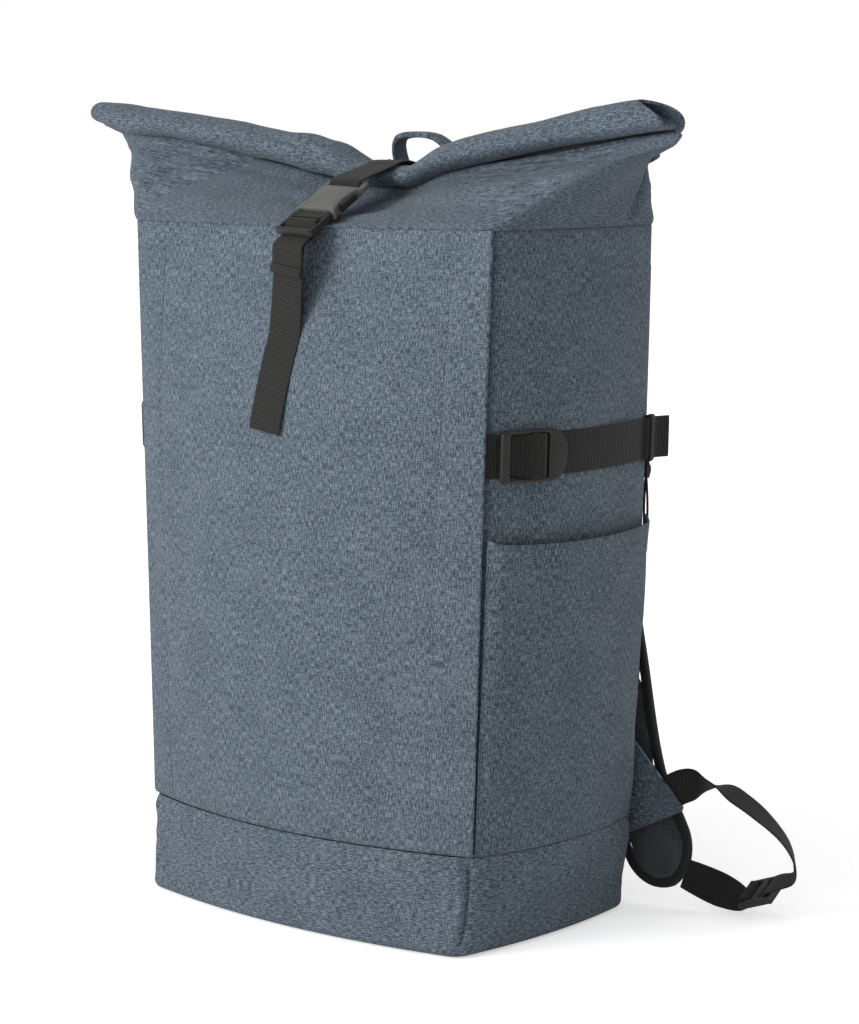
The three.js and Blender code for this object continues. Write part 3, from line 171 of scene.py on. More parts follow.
def mix(a, b, t):
    """Straight mix: a where t is 0, b where t is 1."""
    return a + (b - a) * t


def hill(x, width):
    """Bell curve: e to the power of minus the square of x over the width."""
    return np.exp(-((x / width) ** 2))


def arch(share):
    """Half a sine wave: 0 at the ends of a share and 1 in its middle."""
    return np.maximum(0, np.sin(np.pi * np.asarray(share, float)))


def smooth(edge0, edge1, x):
    """Smooth step from 0 at the first edge to 1 at the second: t squared times three less two t."""
    t = np.clip((x - edge0) / (edge1 - edge0), 0, 1)
    return t * t * (3 - 2 * t)


def table_value(rows, key, column, place):
    """Hermite curve through a table's column, with each row's slope taken across its neighbours."""
    x = np.array([row[key] for row in rows], float)
    y = np.array([row[column] for row in rows], float)
    order = np.arange(len(x))
    before, after = np.maximum(order - 1, 0), np.minimum(order + 1, len(x) - 1)
    slope = (y[after] - y[before]) / (x[after] - x[before])
    place = np.asarray(place, float)
    i = np.clip(np.searchsorted(x, place, side="right") - 1, 0, len(x) - 2)
    span = x[i + 1] - x[i]
    t = np.clip((place - x[i]) / span, 0, 1)
    rest = 1 - t
    return (rest * rest * (1 + 2 * t) * y[i] + t * t * (3 - 2 * t) * y[i + 1]
            + span * t * rest * (rest * slope[i] - t * slope[i + 1]))


def lattice(i, j, k, seed):
    """Number from -1 to 1 for each whole-numbered point of space, by mixing its bits."""
    h = (i.astype(np.uint32) * np.uint32(374761393) + j.astype(np.uint32) * np.uint32(668265263)
         + k.astype(np.uint32) * np.uint32(2246822519) + np.uint32(seed * 97 + 13))
    h = (h ^ (h >> np.uint32(13))) * np.uint32(1274126177)
    h = h ^ (h >> np.uint32(16))
    return h.astype(np.float64) / 2147483647.5 - 1


def crumple(a, b, c=0.0, seed=1, octaves=2):
    """Smooth noise: lattice numbers joined by smooth steps, each octave twice as fine and half as high."""
    a, b, c = np.broadcast_arrays(np.asarray(a, float), np.asarray(b, float), np.asarray(c, float))
    total = np.zeros(a.shape)
    for octave in range(octaves):
        p = [q * 2 ** octave + 1000 for q in (a, b, c)]
        whole = [np.floor(q).astype(np.int64) for q in p]
        part = [q - w for q, w in zip(p, whole)]
        s = [t * t * t * (t * (6 * t - 15) + 10) for t in part]
        value = 0
        for corner in range(8):
            bits = [(corner >> n) & 1 for n in range(3)]
            weight = np.prod([t if bit else 1 - t for t, bit in zip(s, bits)], axis=0)
            value = value + weight * lattice(*(w + bit for w, bit in zip(whole, bits)), seed + octave)
        total += value / 2 ** octave
    return total


def half_width(z):
    """Straight from base to seam."""
    return mix(BODY["base_half"], BODY["top_half"], z / BODY["seam"])


def front_depth(z):
    """Straight from base to seam, plus a foot that fades as e to the power of minus the height."""
    foot = BODY["foot"] * np.exp(-z / BODY["foot_height"])
    return mix(BODY["base_front"], BODY["top_front"], z / BODY["seam"]) + foot


def back_depth(z):
    """Straight from base to seam, plus a belly of half a sine wave."""
    share = z / BODY["seam"]
    return mix(BODY["base_back"], BODY["top_back"], share) + BODY["back_belly"] * np.sin(np.pi * share)


def bulge(face, z):
    """Share of a face's swelling at a height, from the curve through its column."""
    return table_value(BULGE_ROWS, "height", face, z / BODY["seam"])


def skin(around, z, inset=0.0):
    """Point of the body. Around runs 0 to 8: front, corner, right side, corner, back and so on.

    A rectangle with arcs of 90 degrees at its corners; each face then swells by its bulge times
    one less the square of the place along it.
    """
    around, z, inset = np.broadcast_arrays(*(np.asarray(v, float) for v in (around, z, inset)))
    half, front, back = half_width(z) - inset, front_depth(z) - inset, back_depth(z) - inset
    small = np.maximum(BODY["front_radius"] - inset, 1)
    large = np.maximum(BODY["back_radius"] - inset, 1)
    turn = np.mod(around, 8)
    side = np.floor(turn).astype(int)
    t = turn - side

    def arc(x, y, radius, start):
        angle = start + t * QUARTER
        return x + radius * np.cos(angle), y + radius * np.sin(angle)

    stretches = [
        (mix(-(half - small), half - small, t), -front),
        arc(half - small, -(front - small), small, -QUARTER),
        (half, mix(-(front - small), back - large, t)),
        arc(half - large, back - large, large, 0.0),
        (mix(half - large, -(half - large), t), back),
        arc(-(half - large), back - large, large, QUARTER),
        (-half, mix(back - large, -(front - small), t)),
        arc(-(half - small), -(front - small), small, 2 * QUARTER),
    ]
    x = np.choose(side, [s[0] for s in stretches])
    y = np.choose(side, [s[1] for s in stretches])
    reach = np.where(y < 0, front, back)
    swell_x = np.maximum(0, 1 - (y / reach) ** 2) * BODY["side_bulge"] * bulge("side", z)
    depth_swell = np.where(y < 0, BODY["front_bulge"] * bulge("front", z),
                           BODY["back_bulge"] * bulge("back", z))
    swell_y = np.maximum(0, 1 - (x / half) ** 2) * depth_swell
    return np.stack([x + np.sign(x) * swell_x, y + np.sign(y) * swell_y, z], -1)


def from_front_middle(around):
    """Distance round the skin from the front's middle: 1 at the front corners, 3 at the back ones."""
    return np.abs(np.mod(np.mod(around, 8) + 3.5, 8) - 4)


def band_proud(around):
    """How far the base band stands out: level with the front panel, fading to flush at the back."""
    return BODY["band_proud"] * (1 - smooth(2.5, 3, from_front_middle(around)))


def closure_across(z):
    """Place across of the closure's middle line: it leans to the right as it rises."""
    return CLOSURE["sewn_across"] + CLOSURE["lean"] * (z - CLOSURE["sewn"])


def front_point(x, z, outset):
    """Point in front of the front skin: the front depth, plus the bulge's parabola, plus the outset."""
    x, z, outset = np.broadcast_arrays(*(np.asarray(v, float) for v in (x, z, outset)))
    swell = (1 - (x / half_width(z)) ** 2) * BODY["front_bulge"] * bulge("front", z)
    return np.stack([x, -(front_depth(z) + swell + outset), z], -1)


def back_point(x, z, outset):
    """Point behind the back skin: the back depth, plus the bulge's parabola, plus the outset."""
    x, z, outset = np.broadcast_arrays(*(np.asarray(v, float) for v in (x, z, outset)))
    swell = (1 - (x / half_width(z)) ** 2) * BODY["back_bulge"] * bulge("back", z)
    return np.stack([x, back_depth(z) + swell + outset, z], -1)


def roll_section(x):
    """Middle of the roll's section and its half height and half depth at a place across."""
    place = np.clip(x / ROLL["half"], -1, 1)
    value = {c: table_value(ROLL_ROWS, "place", c, place) for c in ("lift", "sway", "height", "depth")}
    return (ROLL["mid_depth"] - ROLL["sway"] * value["sway"], ROLL["lowest"] + ROLL["rise"] * value["lift"],
            ROLL["height"] / 2 * value["height"], ROLL["depth"] / 2 * value["depth"])


def roll_point(x, turn, inset=0.0):
    """Flattened spiral: the section's half sizes less a pitch for each turn, at the turn's angle."""
    x, turn, inset = np.broadcast_arrays(*(np.asarray(v, float) for v in (x, turn, inset)))
    y, z, high, deep = roll_section(x)
    squeeze = high / (ROLL["height"] / 2)
    used = (ROLL["pitch"] * turn + inset) * squeeze
    angle = (ROLL["start"] + turn) * TAU
    return np.stack([x, y + np.maximum(deep - used, 0.4) * np.cos(angle),
                     z + np.maximum(high - used, 0.4) * np.sin(angle)], -1)


def mouth_point(around):
    """Slit under the roll: each place round the body goes to the matching share of the slit's length."""
    turn = np.mod(np.asarray(around, float) + 0.5, 8) - 0.5
    depth = BODY["top_front"] + BODY["top_back"]
    corner = 1 - depth / (depth + 2 * BODY["top_half"])
    share = np.interp(turn, [-0.5, 1.5, 2.5, 3.5, 5.5, 6.5, 7.5],
                      [-corner, corner, 1, corner, -corner, -1, -corner])
    x = share * COLLAR["mouth"]
    y, z, high, deep = roll_section(x)
    thin = np.minimum(1, (1 - np.abs(share)) * 12)
    slit = COLLAR["mouth_thickness"] / 2 * thin
    front = (turn < 2.5) | (turn > 6.5)
    return np.stack([x, y + deep * math.cos(ROLL["start"] * TAU) + np.where(front, -slit, slit),
                     z - high - 4 * CLEARANCE], -1)


def collar_point(around, share):
    """Loft from the seam to the slit, part straight and part pillowed.

    The gussets swell outwards by a power of half a sine wave, less one narrow fold in each.
    """
    around, share = np.broadcast_arrays(np.asarray(around, float), np.asarray(share, float))
    turn = np.mod(around, 8)
    from_middle = from_front_middle(around)
    over_front = smooth(0, 1.4, from_middle)
    front_proud = PANEL["thickness"] + 2 * CLEARANCE + COLLAR["proud"] / 2
    foot = skin(around, BODY["seam"], -mix(front_proud, COLLAR["proud"], over_front))
    mouth = mouth_point(around)
    run = mix(share, 1 - np.cos(share * QUARTER), COLLAR["pillow"])
    rise = mix(share, np.sin(share * QUARTER), COLLAR["pillow"])
    on_gusset = smooth(0.6, 1.2, from_middle) * (1 - smooth(2.9, 3.6, from_middle))
    swell = COLLAR["swell"] * on_gusset * arch(share) ** 0.7
    across_fold = hill(from_middle - COLLAR["fold_place"], COLLAR["fold_width"])
    fold = COLLAR["fold"] * across_fold * arch(share) ** 1.5
    x = mix(foot[..., 0], mouth[..., 0], run)
    front = (turn < 2.5) | (turn > 6.5)
    dent = np.where(front, COLLAR["dent"] * hill(x, COLLAR["dent_width"]) * arch(share), 0)
    return np.stack([x + np.sign(x) * (swell - fold), mix(foot[..., 1], mouth[..., 1], run),
                     mix(BODY["seam"] + CLEARANCE / 2, mouth[..., 2], rise) - dent], -1)


def surface_normal(point, u, v, step=0.02):
    """Cross product of the steps along the two ways of a surface, made one long."""
    along = point(u + step, v) - point(u - step, v)
    upward = point(u, np.minimum(v + step, 1)) - point(u, np.maximum(v - step, 0))
    return unit(np.cross(along, upward))


# Meshes
def new_mesh(name, points, faces, uv=None):
    """Mesh in metres from points in millimetres, with its weave coordinates in metres."""
    mesh = bpy.data.meshes.new(name)
    mesh.from_pydata((np.asarray(points).reshape(-1, 3) * MM).tolist(), [], faces)
    if uv is not None:
        layer = mesh.uv_layers.new(name="weave")
        index = np.zeros(len(mesh.loops), np.int32)
        mesh.loops.foreach_get("vertex_index", index)
        layer.data.foreach_set("uv", (np.asarray(uv).reshape(-1, 2)[index] * MM).astype(np.float32).ravel())
    mesh.validate()
    mesh.shade_smooth()
    obj = bpy.data.objects.new(name, mesh)
    bpy.context.scene.collection.objects.link(obj)
    return obj


def grid_faces(rows, columns, close=False, ring=False, start=0):
    """Four-sided faces of a grid of points. Close joins its last column to its first, ring its rows."""
    index = start + np.arange(rows * columns).reshape(rows, columns)
    if ring:
        index = np.concatenate([index, index[:1]], 0)
    if close:
        index = np.concatenate([index, index[:, :1]], 1)
    return np.stack([index[:-1, :-1], index[:-1, 1:], index[1:, 1:], index[1:, :-1]], -1).reshape(-1, 4)


def tube_faces(rows, count):
    """Faces of a tube of rings, with one face over each end."""
    ends = [list(range(count))[::-1], list(range((rows - 1) * count, rows * count))]
    return grid_faces(rows, count, True).tolist() + ends


def round_grid(*counts):
    """Places round the body from 0 to 8, with a count for each of its eight stretches."""
    return np.concatenate([np.linspace(i, i + 1, count)[:-1] for i, count in enumerate(counts)])


def crowded(count, pull):
    """Shares from -1 to 1 that crowd at both ends: the sine of even steps over the sine of the last."""
    return np.sin(np.linspace(-1, 1, count) * pull) / math.sin(pull)


def get_points(mesh):
    """Points of a mesh in metres, a row for each."""
    flat = np.zeros(len(mesh.vertices) * 3, np.float32)
    mesh.vertices.foreach_get("co", flat)
    return flat.reshape(-1, 3)


def set_points(mesh, points):
    mesh.vertices.foreach_set("co", points.astype(np.float32).ravel())
    mesh.update()


def lengths(points, axis):
    """Distance walked along one way of a grid of points, starting at 0."""
    step = np.linalg.norm(np.diff(points, axis=axis), axis=-1)
    start = np.zeros_like(np.take(step, [0], axis=axis))
    return np.concatenate([start, np.cumsum(step, axis=axis)], axis=axis)


def cloth_sheet(name, points, wall, close=False, bevel=0.0, uv=None, outside=None, lay=-1.0):
    """Sheet over a grid of points. Its wall grows inwards by Solidify and its rims are rounded."""
    rows, columns = points.shape[:2]
    faces = grid_faces(rows, columns, close)
    if uv is None:
        uv = np.stack([np.broadcast_to(lengths(points, 1).mean(0), (rows, columns)),
                       np.broadcast_to(lengths(points, 0).mean(1)[:, None], (rows, columns))], -1)
    flat = points.reshape(-1, 3)
    if outside is None:
        outside = np.array([0.0, 0, 280])
    corners = flat[faces]
    normal = np.cross(corners[:, 2] - corners[:, 0], corners[:, 3] - corners[:, 1])
    away = corners.mean(1) - outside
    if (normal * away).sum() < 0:
        faces = faces[:, ::-1]
    obj = new_mesh(name, points, faces.tolist(), uv)
    solid = obj.modifiers.new("wall", "SOLIDIFY")
    solid.thickness = wall * MM
    solid.offset = lay
    if bevel:
        soft = obj.modifiers.new("rims", "BEVEL")
        soft.width = bevel * MM
        soft.segments = 2
        soft.limit_method = "ANGLE"
        soft.angle_limit = math.radians(50)
    return obj


def carried(centres, across, profile, scale=None, normal=None):
    """Profile carried along a path: each place plus the profile's two numbers times its two ways.

    Returns points, faces and weave coordinates. The first number goes along across, the second
    along the normal, and the ends are closed with one face each.
    """
    centres, across = np.asarray(centres, float), np.asarray(across, float)
    tangent = unit(np.gradient(centres, axis=0))
    if normal is None:
        across = unit(across - (across * tangent).sum(-1, keepdims=True) * tangent)
        normal = unit(np.cross(tangent, across))
    rows, count = len(centres), len(profile)
    scale = np.ones((rows, 2)) if scale is None else scale
    points = (centres[:, None] + across[:, None] * (profile[None, :, :1] * scale[:, None, :1])
              + normal[:, None] * (profile[None, :, 1:] * scale[:, None, 1:]))
    walked = lengths(centres[:, None], 0)[:, 0]
    uv = np.stack(np.broadcast_arrays(profile[:, 0], walked[:, None]), -1)
    return points.reshape(-1, 3), tube_faces(rows, count), uv.reshape(-1, 2)


def joined(name, parts):
    """One mesh of several closed shells, each given as points, faces and weave coordinates."""
    points, faces, uvs, start = [], [], [], 0
    for shell in parts:
        p, f = shell[0], shell[1]
        points.append(p)
        faces += [[start + i for i in face] for face in f]
        uvs.append(shell[2] if len(shell) > 2 else p[:, :2])
        start += len(p)
    return new_mesh(name, np.concatenate(points), faces, np.concatenate(uvs))


def outward(obj):
    """Turns every closed shell of a mesh so that its faces point outwards."""
    work = bmesh.new()
    work.from_mesh(obj.data)
    bmesh.ops.recalc_face_normals(work, faces=work.faces)
    work.to_mesh(obj.data)
    work.free()
    return obj


def creased(obj, degrees=38):
    """Keeps edges sharp where two faces meet at more than an angle."""
    obj.data.set_sharp_from_angle(angle=math.radians(degrees))
    return obj


MODIFIER_KEYS = ("thickness", "offset", "width", "segments", "limit_method", "angle_limit", "levels",
                 "render_levels")


def mirror_image(obj, name):
    """Copy of a piece on the other side: X changes its sign and the faces turn round."""
    mesh = obj.data.copy()
    mesh.name = name
    mesh.transform(Matrix.Diagonal((-1, 1, 1, 1)))
    mesh.flip_normals()
    twin = bpy.data.objects.new(name, mesh)
    bpy.context.scene.collection.objects.link(twin)
    for modifier in obj.modifiers:
        made = twin.modifiers.new(modifier.name, modifier.type)
        for key in MODIFIER_KEYS:
            if hasattr(modifier, key):
                setattr(made, key, getattr(modifier, key))
    return twin


def flat_oval(width, thickness, count=20):
    """Section of webbing: a flat bar whose two edges are half round."""
    angle = np.linspace(0, TAU, count, endpoint=False) + TAU / count / 2
    x = np.sign(np.cos(angle)) * (np.abs(np.cos(angle)) ** 0.22) * width / 2
    y = np.sign(np.sin(angle)) * (np.abs(np.sin(angle)) ** 0.6) * thickness / 2
    return np.stack([x, y], -1)


def rounded_bar(width, thickness, radius, steps=3):
    """Section of a moulded bar: a rectangle with quarter circles at its corners."""
    corner = np.linspace(0, QUARTER, steps + 1)
    pieces = []
    for sx, sy, start in ((1, 1, 0), (-1, 1, 1), (-1, -1, 2), (1, -1, 3)):
        angle = start * QUARTER + corner
        pieces.append(np.stack([sx * (width / 2 - radius) + radius * np.cos(angle),
                                sy * (thickness / 2 - radius) + radius * np.sin(angle)], -1))
    return np.concatenate(pieces)


def through(stations, spacing=2.0):
    """Smooth path through stations: Catmull-Rom curves, walked again at an even spacing."""
    at = np.array([s["at"] for s in stations], float)
    across = unit(np.array([s["across"] for s in stations], float))
    data = np.concatenate([at, across], 1)
    padded = np.concatenate([2 * data[:1] - data[1:2], data, 2 * data[-1:] - data[-2:-1]])
    t = np.linspace(0, 1, 12, endpoint=False)[:, None]
    pieces = []
    for i in range(len(data) - 1):
        a, b, c, d = padded[i:i + 4]
        gap = max(np.linalg.norm(c[:3] - b[:3]), 1e-6)
        before = (c - a) * gap / max(np.linalg.norm(c[:3] - a[:3]), 1e-6)
        after = (d - b) * gap / max(np.linalg.norm(d[:3] - b[:3]), 1e-6)
        pieces.append((2 * t ** 3 - 3 * t ** 2 + 1) * b + (t ** 3 - 2 * t ** 2 + t) * before
                      + (-2 * t ** 3 + 3 * t ** 2) * c + (t ** 3 - t ** 2) * after)
    dense = np.concatenate(pieces + [data[-1:]])
    walked = lengths(dense[:, None, :3], 0)[:, 0]
    count = max(int(walked[-1] / spacing), 2)
    even = np.linspace(0, walked[-1], count + 1)
    path = np.stack([np.interp(even, walked, dense[:, i]) for i in range(6)], -1)
    return path[:, :3], unit(path[:, 3:])


def webbing_band(name, stations, width, thickness=WEBBING["thickness"], spacing=2.0):
    """Webbing: a flat oval carried along a smooth path."""
    centres, across = through(stations, spacing)
    points, faces, uv = carried(centres, across, flat_oval(width, thickness))
    return creased(outward(new_mesh(name, points, faces, uv)), 60)


def outline_box(left, right, bottom, top, radii, steps=8):
    """Rounded outline: four quarter ellipses in turn, each with its own two radii."""
    corner = np.linspace(0, QUARTER, steps + 1)
    signs = ((1, 1), (-1, 1), (-1, -1), (1, -1))
    pieces = []
    for number, (sx, sy) in enumerate(signs):
        rx, ry = radii[number]
        x0 = (right - rx) if sx > 0 else (left + rx)
        y0 = (top - ry) if sy > 0 else (bottom + ry)
        angle = number * QUARTER + corner
        pieces.append(np.stack([x0 + rx * np.cos(angle), y0 + ry * np.sin(angle)], -1))
    return np.concatenate(pieces)


def ring_plate(outer, inner, thickness, edge=0.8):
    """Frame between two outlines of equally many points, with rounded edges inside and outside."""
    turns = np.linspace(-QUARTER, QUARTER, 5)
    loops = []
    for outline, way, angles in ((outer, inset_way(outer), turns), (inner, -inset_way(inner), turns[::-1])):
        for angle in angles:
            cut = edge * (1 - math.cos(angle))
            straight = thickness / 2 - edge * (1 - abs(math.sin(angle)))
            height = math.copysign(straight, angle) if abs(angle) > 1e-6 else 0.0
            loops.append(np.concatenate([outline + way * cut, np.full((len(outline), 1), height)], 1))
    points = np.stack(loops)
    return points.reshape(-1, 3), grid_faces(*points.shape[:2], close=True, ring=True).tolist()


def inset_way(outline):
    """Direction into an outline at each of its points, square to the line through its neighbours."""
    ahead, behind = np.roll(outline, -1, 0), np.roll(outline, 1, 0)
    tangent = unit(ahead - behind)
    return np.stack([-tangent[:, 1], tangent[:, 0]], -1)


def placed_shell(shell, origin, first, second, third):
    """Shell moved so that its own three axes lie along three directions at an origin."""
    basis = np.stack([first, second, third])
    return shell[0] @ basis + origin, shell[1]


def bar_shell(start, end, across, width, thickness, radius=1.0):
    """Moulded bar between two places."""
    centres = np.linspace(np.asarray(start, float), np.asarray(end, float), 5)
    return carried(centres, np.broadcast_to(across, (5, 3)), rounded_bar(width, thickness, radius))[:2]


# Finishes
def finish(name, build, **sockets):
    """Node material. Build gives colour, height, the bump's strength and distance, and roughness."""
    made = bpy.data.materials.new(name)
    made.use_nodes = True
    tree = made.node_tree
    shader = tree.nodes["Principled BSDF"]
    for key, value in sockets.items():
        shader.inputs[key.replace("_", " ")].default_value = value

    def add(kind, settings=None, **inputs):
        node = tree.nodes.new("ShaderNode" + kind)
        for key, value in (settings or {}).items():
            setattr(node, key, value)
        for key, value in inputs.items():
            socket = node.inputs[int(key[1:])] if key[0] == "i" and key[1:].isdigit() else node.inputs[key]
            if isinstance(value, bpy.types.NodeSocket):
                tree.links.new(value, socket)
            else:
                socket.default_value = value
        return node

    def ramp(factor, stops):
        node = add("ValToRGB", Fac=factor)
        while len(node.color_ramp.elements) < len(stops):
            node.color_ramp.elements.new(0.5)
        for element, (place, colour) in zip(node.color_ramp.elements, stops):
            element.position = place
            element.color = (*colour, 1)
        return node.outputs["Color"]

    colour, height, strength, distance, rough = build(add, ramp)
    tree.links.new(colour, shader.inputs["Base Color"])
    if rough is not None:
        tree.links.new(rough, shader.inputs["Roughness"])
    bump = add("Bump", Strength=strength, Distance=distance * MM, Height=height)
    tree.links.new(bump.outputs["Normal"], shader.inputs["Normal"])
    return made


def stretched(add, scale, detail=2.0, rough=0.6):
    """Noise read from the weave coordinates, stretched by a scale along each."""
    uv = add("UVMap", {"uv_map": "weave"}).outputs["UV"]
    place = add("Mapping", Vector=uv, Scale=(*scale, 1)).outputs["Vector"]
    return add("TexNoise", Vector=place, Scale=1.0, Detail=detail, Roughness=rough).outputs["Fac"]


def worked(add, operation, a, b=0.0):
    """Output of a Math node on one or two values."""
    return add("Math", {"operation": operation}, i0=a, i1=b).outputs[0]


def summed(add, *terms):
    """Sum of outputs, each times its own share."""
    total = None
    for value, share in terms:
        part = worked(add, "MULTIPLY", value, share)
        total = part if total is None else worked(add, "ADD", total, part)
    return total


def heather(name, shades, upright):
    """Melange cloth: short light and dark threads both ways, more of them along one way."""
    def build(add, ramp):
        across, along = THREADS_PER_METRE["across"], THREADS_PER_METRE["along"]
        flecks, patch = THREADS_PER_METRE["flecks"], THREADS_PER_METRE["patches"]
        warp = stretched(add, (across, along), 2.0, 0.6)
        weft = stretched(add, (along, across), 2.0, 0.6)
        fleck = stretched(add, (flecks, flecks), 2.0, 0.7)
        patches = stretched(add, (patch, patch), 3.0, 0.55)
        share = 0.46 if upright else 0.24
        threads = summed(add, (warp, share), (weft, 0.7 - share), (fleck, 0.3))
        mixed = summed(add, (threads, 0.94), (patches, 0.06))
        dark, mid, light = shades
        colour = ramp(mixed, [(0.42, dark), (0.5, mid), (0.58, light)])
        return colour, threads, 0.5, 0.3, None
    return finish(name, build, Roughness=0.86, Sheen_Weight=0.08, Sheen_Roughness=0.5,
                  Specular_IOR_Level=0.2)


def ribbed(name, dark, light, pitch, strength=0.7, thread_width=1.1):
    """Webbing: ribs square to its length, crossed by fine threads. Its colour follows their height, with
    painted shade in the hollows and painted light on the crests.
    """
    def build(add, ramp):
        uv = add("UVMap", {"uv_map": "weave"}).outputs["UV"]
        parts = add("SeparateXYZ", Vector=uv)
        rib = worked(add, "SINE", worked(add, "MULTIPLY", parts.outputs["Y"], TAU / (pitch * MM)))
        thread = worked(add, "SINE", worked(add, "MULTIPLY", parts.outputs["X"], TAU / (thread_width * MM)))
        fleck = stretched(add, (THREADS_PER_METRE["webbing"],) * 2, 2.0, 0.6)
        height = summed(add, (rib, 0.4), (thread, 0.18), (fleck, 0.4))
        # Colour from the rib and thread height: painted shade in the hollows and painted light on the
        # crests; the flecks are the yarn's own tone.
        colour = ramp(worked(add, "ADD", height, 0.3), [(0.1, dark), (0.9, light)])
        return colour, height, strength, 0.5, None
    return finish(name, build, Roughness=0.72, Sheen_Weight=0.08, Specular_IOR_Level=0.35)


def moulded(name, dark, light, rough=0.42):
    """Acetal: an even colour with a faint moulding grain."""
    def build(add, ramp):
        where = add("TexCoord").outputs["Object"]
        grain = add("TexNoise", Vector=where, Scale=900.0, Detail=2.0).outputs["Fac"]
        cloud = add("TexNoise", Vector=where, Scale=60.0, Detail=3.0).outputs["Fac"]
        both = summed(add, (grain, 0.4), (cloud, 0.6))
        sheen = add("MapRange", Value=cloud)
        sheen.inputs["To Min"].default_value = rough - 0.08
        sheen.inputs["To Max"].default_value = rough + 0.1
        return ramp(both, [(0.3, dark), (0.7, light)]), grain, 0.25, 0.12, sheen.outputs["Result"]
    return finish(name, build, Specular_IOR_Level=0.5)


def spacer(name, dark, light, pitch):
    """Spacer mesh: rows of small round holes in a soft knit, each hole darkened with painted shade."""
    def build(add, ramp):
        where = add("TexCoord").outputs["Object"]
        cells = add("TexVoronoi", {"feature": "F1"}, Vector=where, Scale=1 / (pitch * MM), Randomness=0.15)
        hole = cells.outputs["Distance"]
        knit = add("TexNoise", Vector=where, Scale=1400.0, Detail=2.0).outputs["Fac"]
        height = summed(add, (hole, -0.8), (knit, 0.3))
        # The holes are painted darker, as painted shade inside them; the knit noise is the yarn's own tone.
        colour = ramp(summed(add, (hole, 0.8), (knit, 0.2)), [(0.2, dark), (0.55, light)])
        return colour, height, 0.7, 0.9, None
    return finish(name, build, Roughness=0.9, Sheen_Weight=0.15)


CLOTH_SHADES = [(0.030, 0.045, 0.064), (0.090, 0.120, 0.152), (0.203, 0.241, 0.279)]
panel_cloth = heather("heather_upright", CLOTH_SHADES, True)
band_cloth = heather("heather_level", CLOTH_SHADES, False)
# In the ribbed finishes (black webbing, black binding, sewing thread) the darker colour is painted shade in
# the hollows and the lighter one painted light on the crests.
strap_cloth = ribbed("black_webbing", (0.002, 0.002, 0.002), (0.016, 0.016, 0.014), 2.1)
binding_cloth = ribbed("black_binding", (0.008, 0.009, 0.009), (0.022, 0.023, 0.023), 1.0, 0.4)
plastic = moulded("dark_acetal", (0.014, 0.0145, 0.013), (0.022, 0.0225, 0.02))
buckle_plastic = moulded("grey_acetal", (0.1, 0.1, 0.094), (0.14, 0.14, 0.13), 0.36)
# The first colour is the painted shade at the holes' middles, the second the knit's own colour.
mesh_cloth = spacer("spacer_mesh", (0.02, 0.022, 0.024), (0.055, 0.06, 0.064), 3.0)
# Painted shade in the thread's hollows and painted light on its crests, as in the webbing.
thread_finish = ribbed("sewing_thread", (0.04, 0.055, 0.075), (0.09, 0.115, 0.145), 0.5, 0.3)


def dressed(obj, material, slot, *nodes):
    """Gives a piece its finish and its body, and hides the solids it stands for; the slot is not used."""
    obj.data.materials.clear()
    obj.data.materials.append(material)
    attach(obj, "root")
    if nodes:
        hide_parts(*nodes)
    return obj


def both_sides(obj, material, slot, *nodes):
    """Dresses a right piece and its mirror image, whose own name and nodes say left."""
    dressed(obj, material, slot, *nodes)
    twin = mirror_image(obj, obj.name.replace("_right", "_left"))
    return dressed(twin, material, slot, *[node.replace("_right", "_left") for node in nodes])


def stitch_rows(name, rows, material, slot, thick):
    """Rows of stitches: a small long drop of thread laid along each row at an even pitch."""
    angle = np.linspace(0, TAU, 6, endpoint=False)
    ends = np.array([-0.5, -0.3, 0.3, 0.5])
    swell = np.array([0.2, 1.0, 1.0, 0.2])
    shells = []
    for path, normal in rows:
        path, normal = np.asarray(path, float), unit(normal)
        walked = lengths(path[:, None], 0)[:, 0]
        places = np.arange(SEWING["pitch"] / 2, walked[-1] - SEWING["pitch"] / 2, SEWING["pitch"])
        at = np.stack([np.interp(places, walked, path[:, i]) for i in range(3)], -1)
        out = unit(np.stack([np.interp(places, walked, normal[:, i]) for i in range(3)], -1))
        ahead = np.stack([np.interp(places + 0.5, walked, path[:, i]) for i in range(3)], -1)
        along = unit(ahead - at)
        side = np.cross(along, out)
        body = (at[:, None, None] + along[:, None, None] * (ends * SEWING["length"])[None, :, None, None]
                + side[:, None, None] * (np.outer(swell, np.cos(angle)) * thick / 2)[None, :, :, None]
                + out[:, None, None] * (np.outer(swell, np.sin(angle)) * thick / 2)[None, :, :, None])
        count = len(places)
        one = grid_faces(4, 6, True)
        caps = np.array([[0, 1, 2, 3], [0, 3, 4, 5], [21, 20, 19, 18], [23, 22, 21, 18]])
        every = np.concatenate([one, caps])
        faces = (every[None] + (np.arange(count) * 24)[:, None, None]).reshape(-1, 4)
        shells.append((body.reshape(-1, 3), faces.tolist()))
    obj = outward(joined(name, shells))
    return dressed(obj, material, slot)


# Body of cloth
def panel_heights(count):
    """Even heights from the base band's seam to the collar's."""
    return np.linspace(BODY["band"] + CLEARANCE / 2, BODY["seam"] - CLEARANCE / 2, count)


def panel_edge(z):
    """Half width of the front panel: the body's, plus a lip that narrows from the base to the seam."""
    return half_width(z) + mix(PANEL["lip_base"], PANEL["lip_top"], z / BODY["seam"])


def front_surface(x, z):
    """Front panel: the bulged front with a hem fold along each edge and slow hand-made ripples."""
    from_edge = panel_edge(z) - np.abs(x)
    hem = -0.9 * hill(from_edge - PANEL["hem"], 1.6)
    hem = hem + 0.5 * smooth(PANEL["hem"] + 1, PANEL["hem"] - 4, from_edge)
    slow = 1.5 * crumple(x / 90, z / 190, seed=3) + 0.5 * crumple(x / 30, z / 60, seed=5)
    fade = smooth(0, 25, z - BODY["band"]) * smooth(0, 20, BODY["seam"] - z) * smooth(0, 12, from_edge)
    pull = -1.6 * hill(x, 22) * hill(z - CLOSURE["sewn"], 26)
    lip = -1.6 * smooth(4, 0, z - BODY["band"])
    return front_point(x, z, CLEARANCE + PANEL["thickness"] + hem * fade + slow * fade + pull + lip)


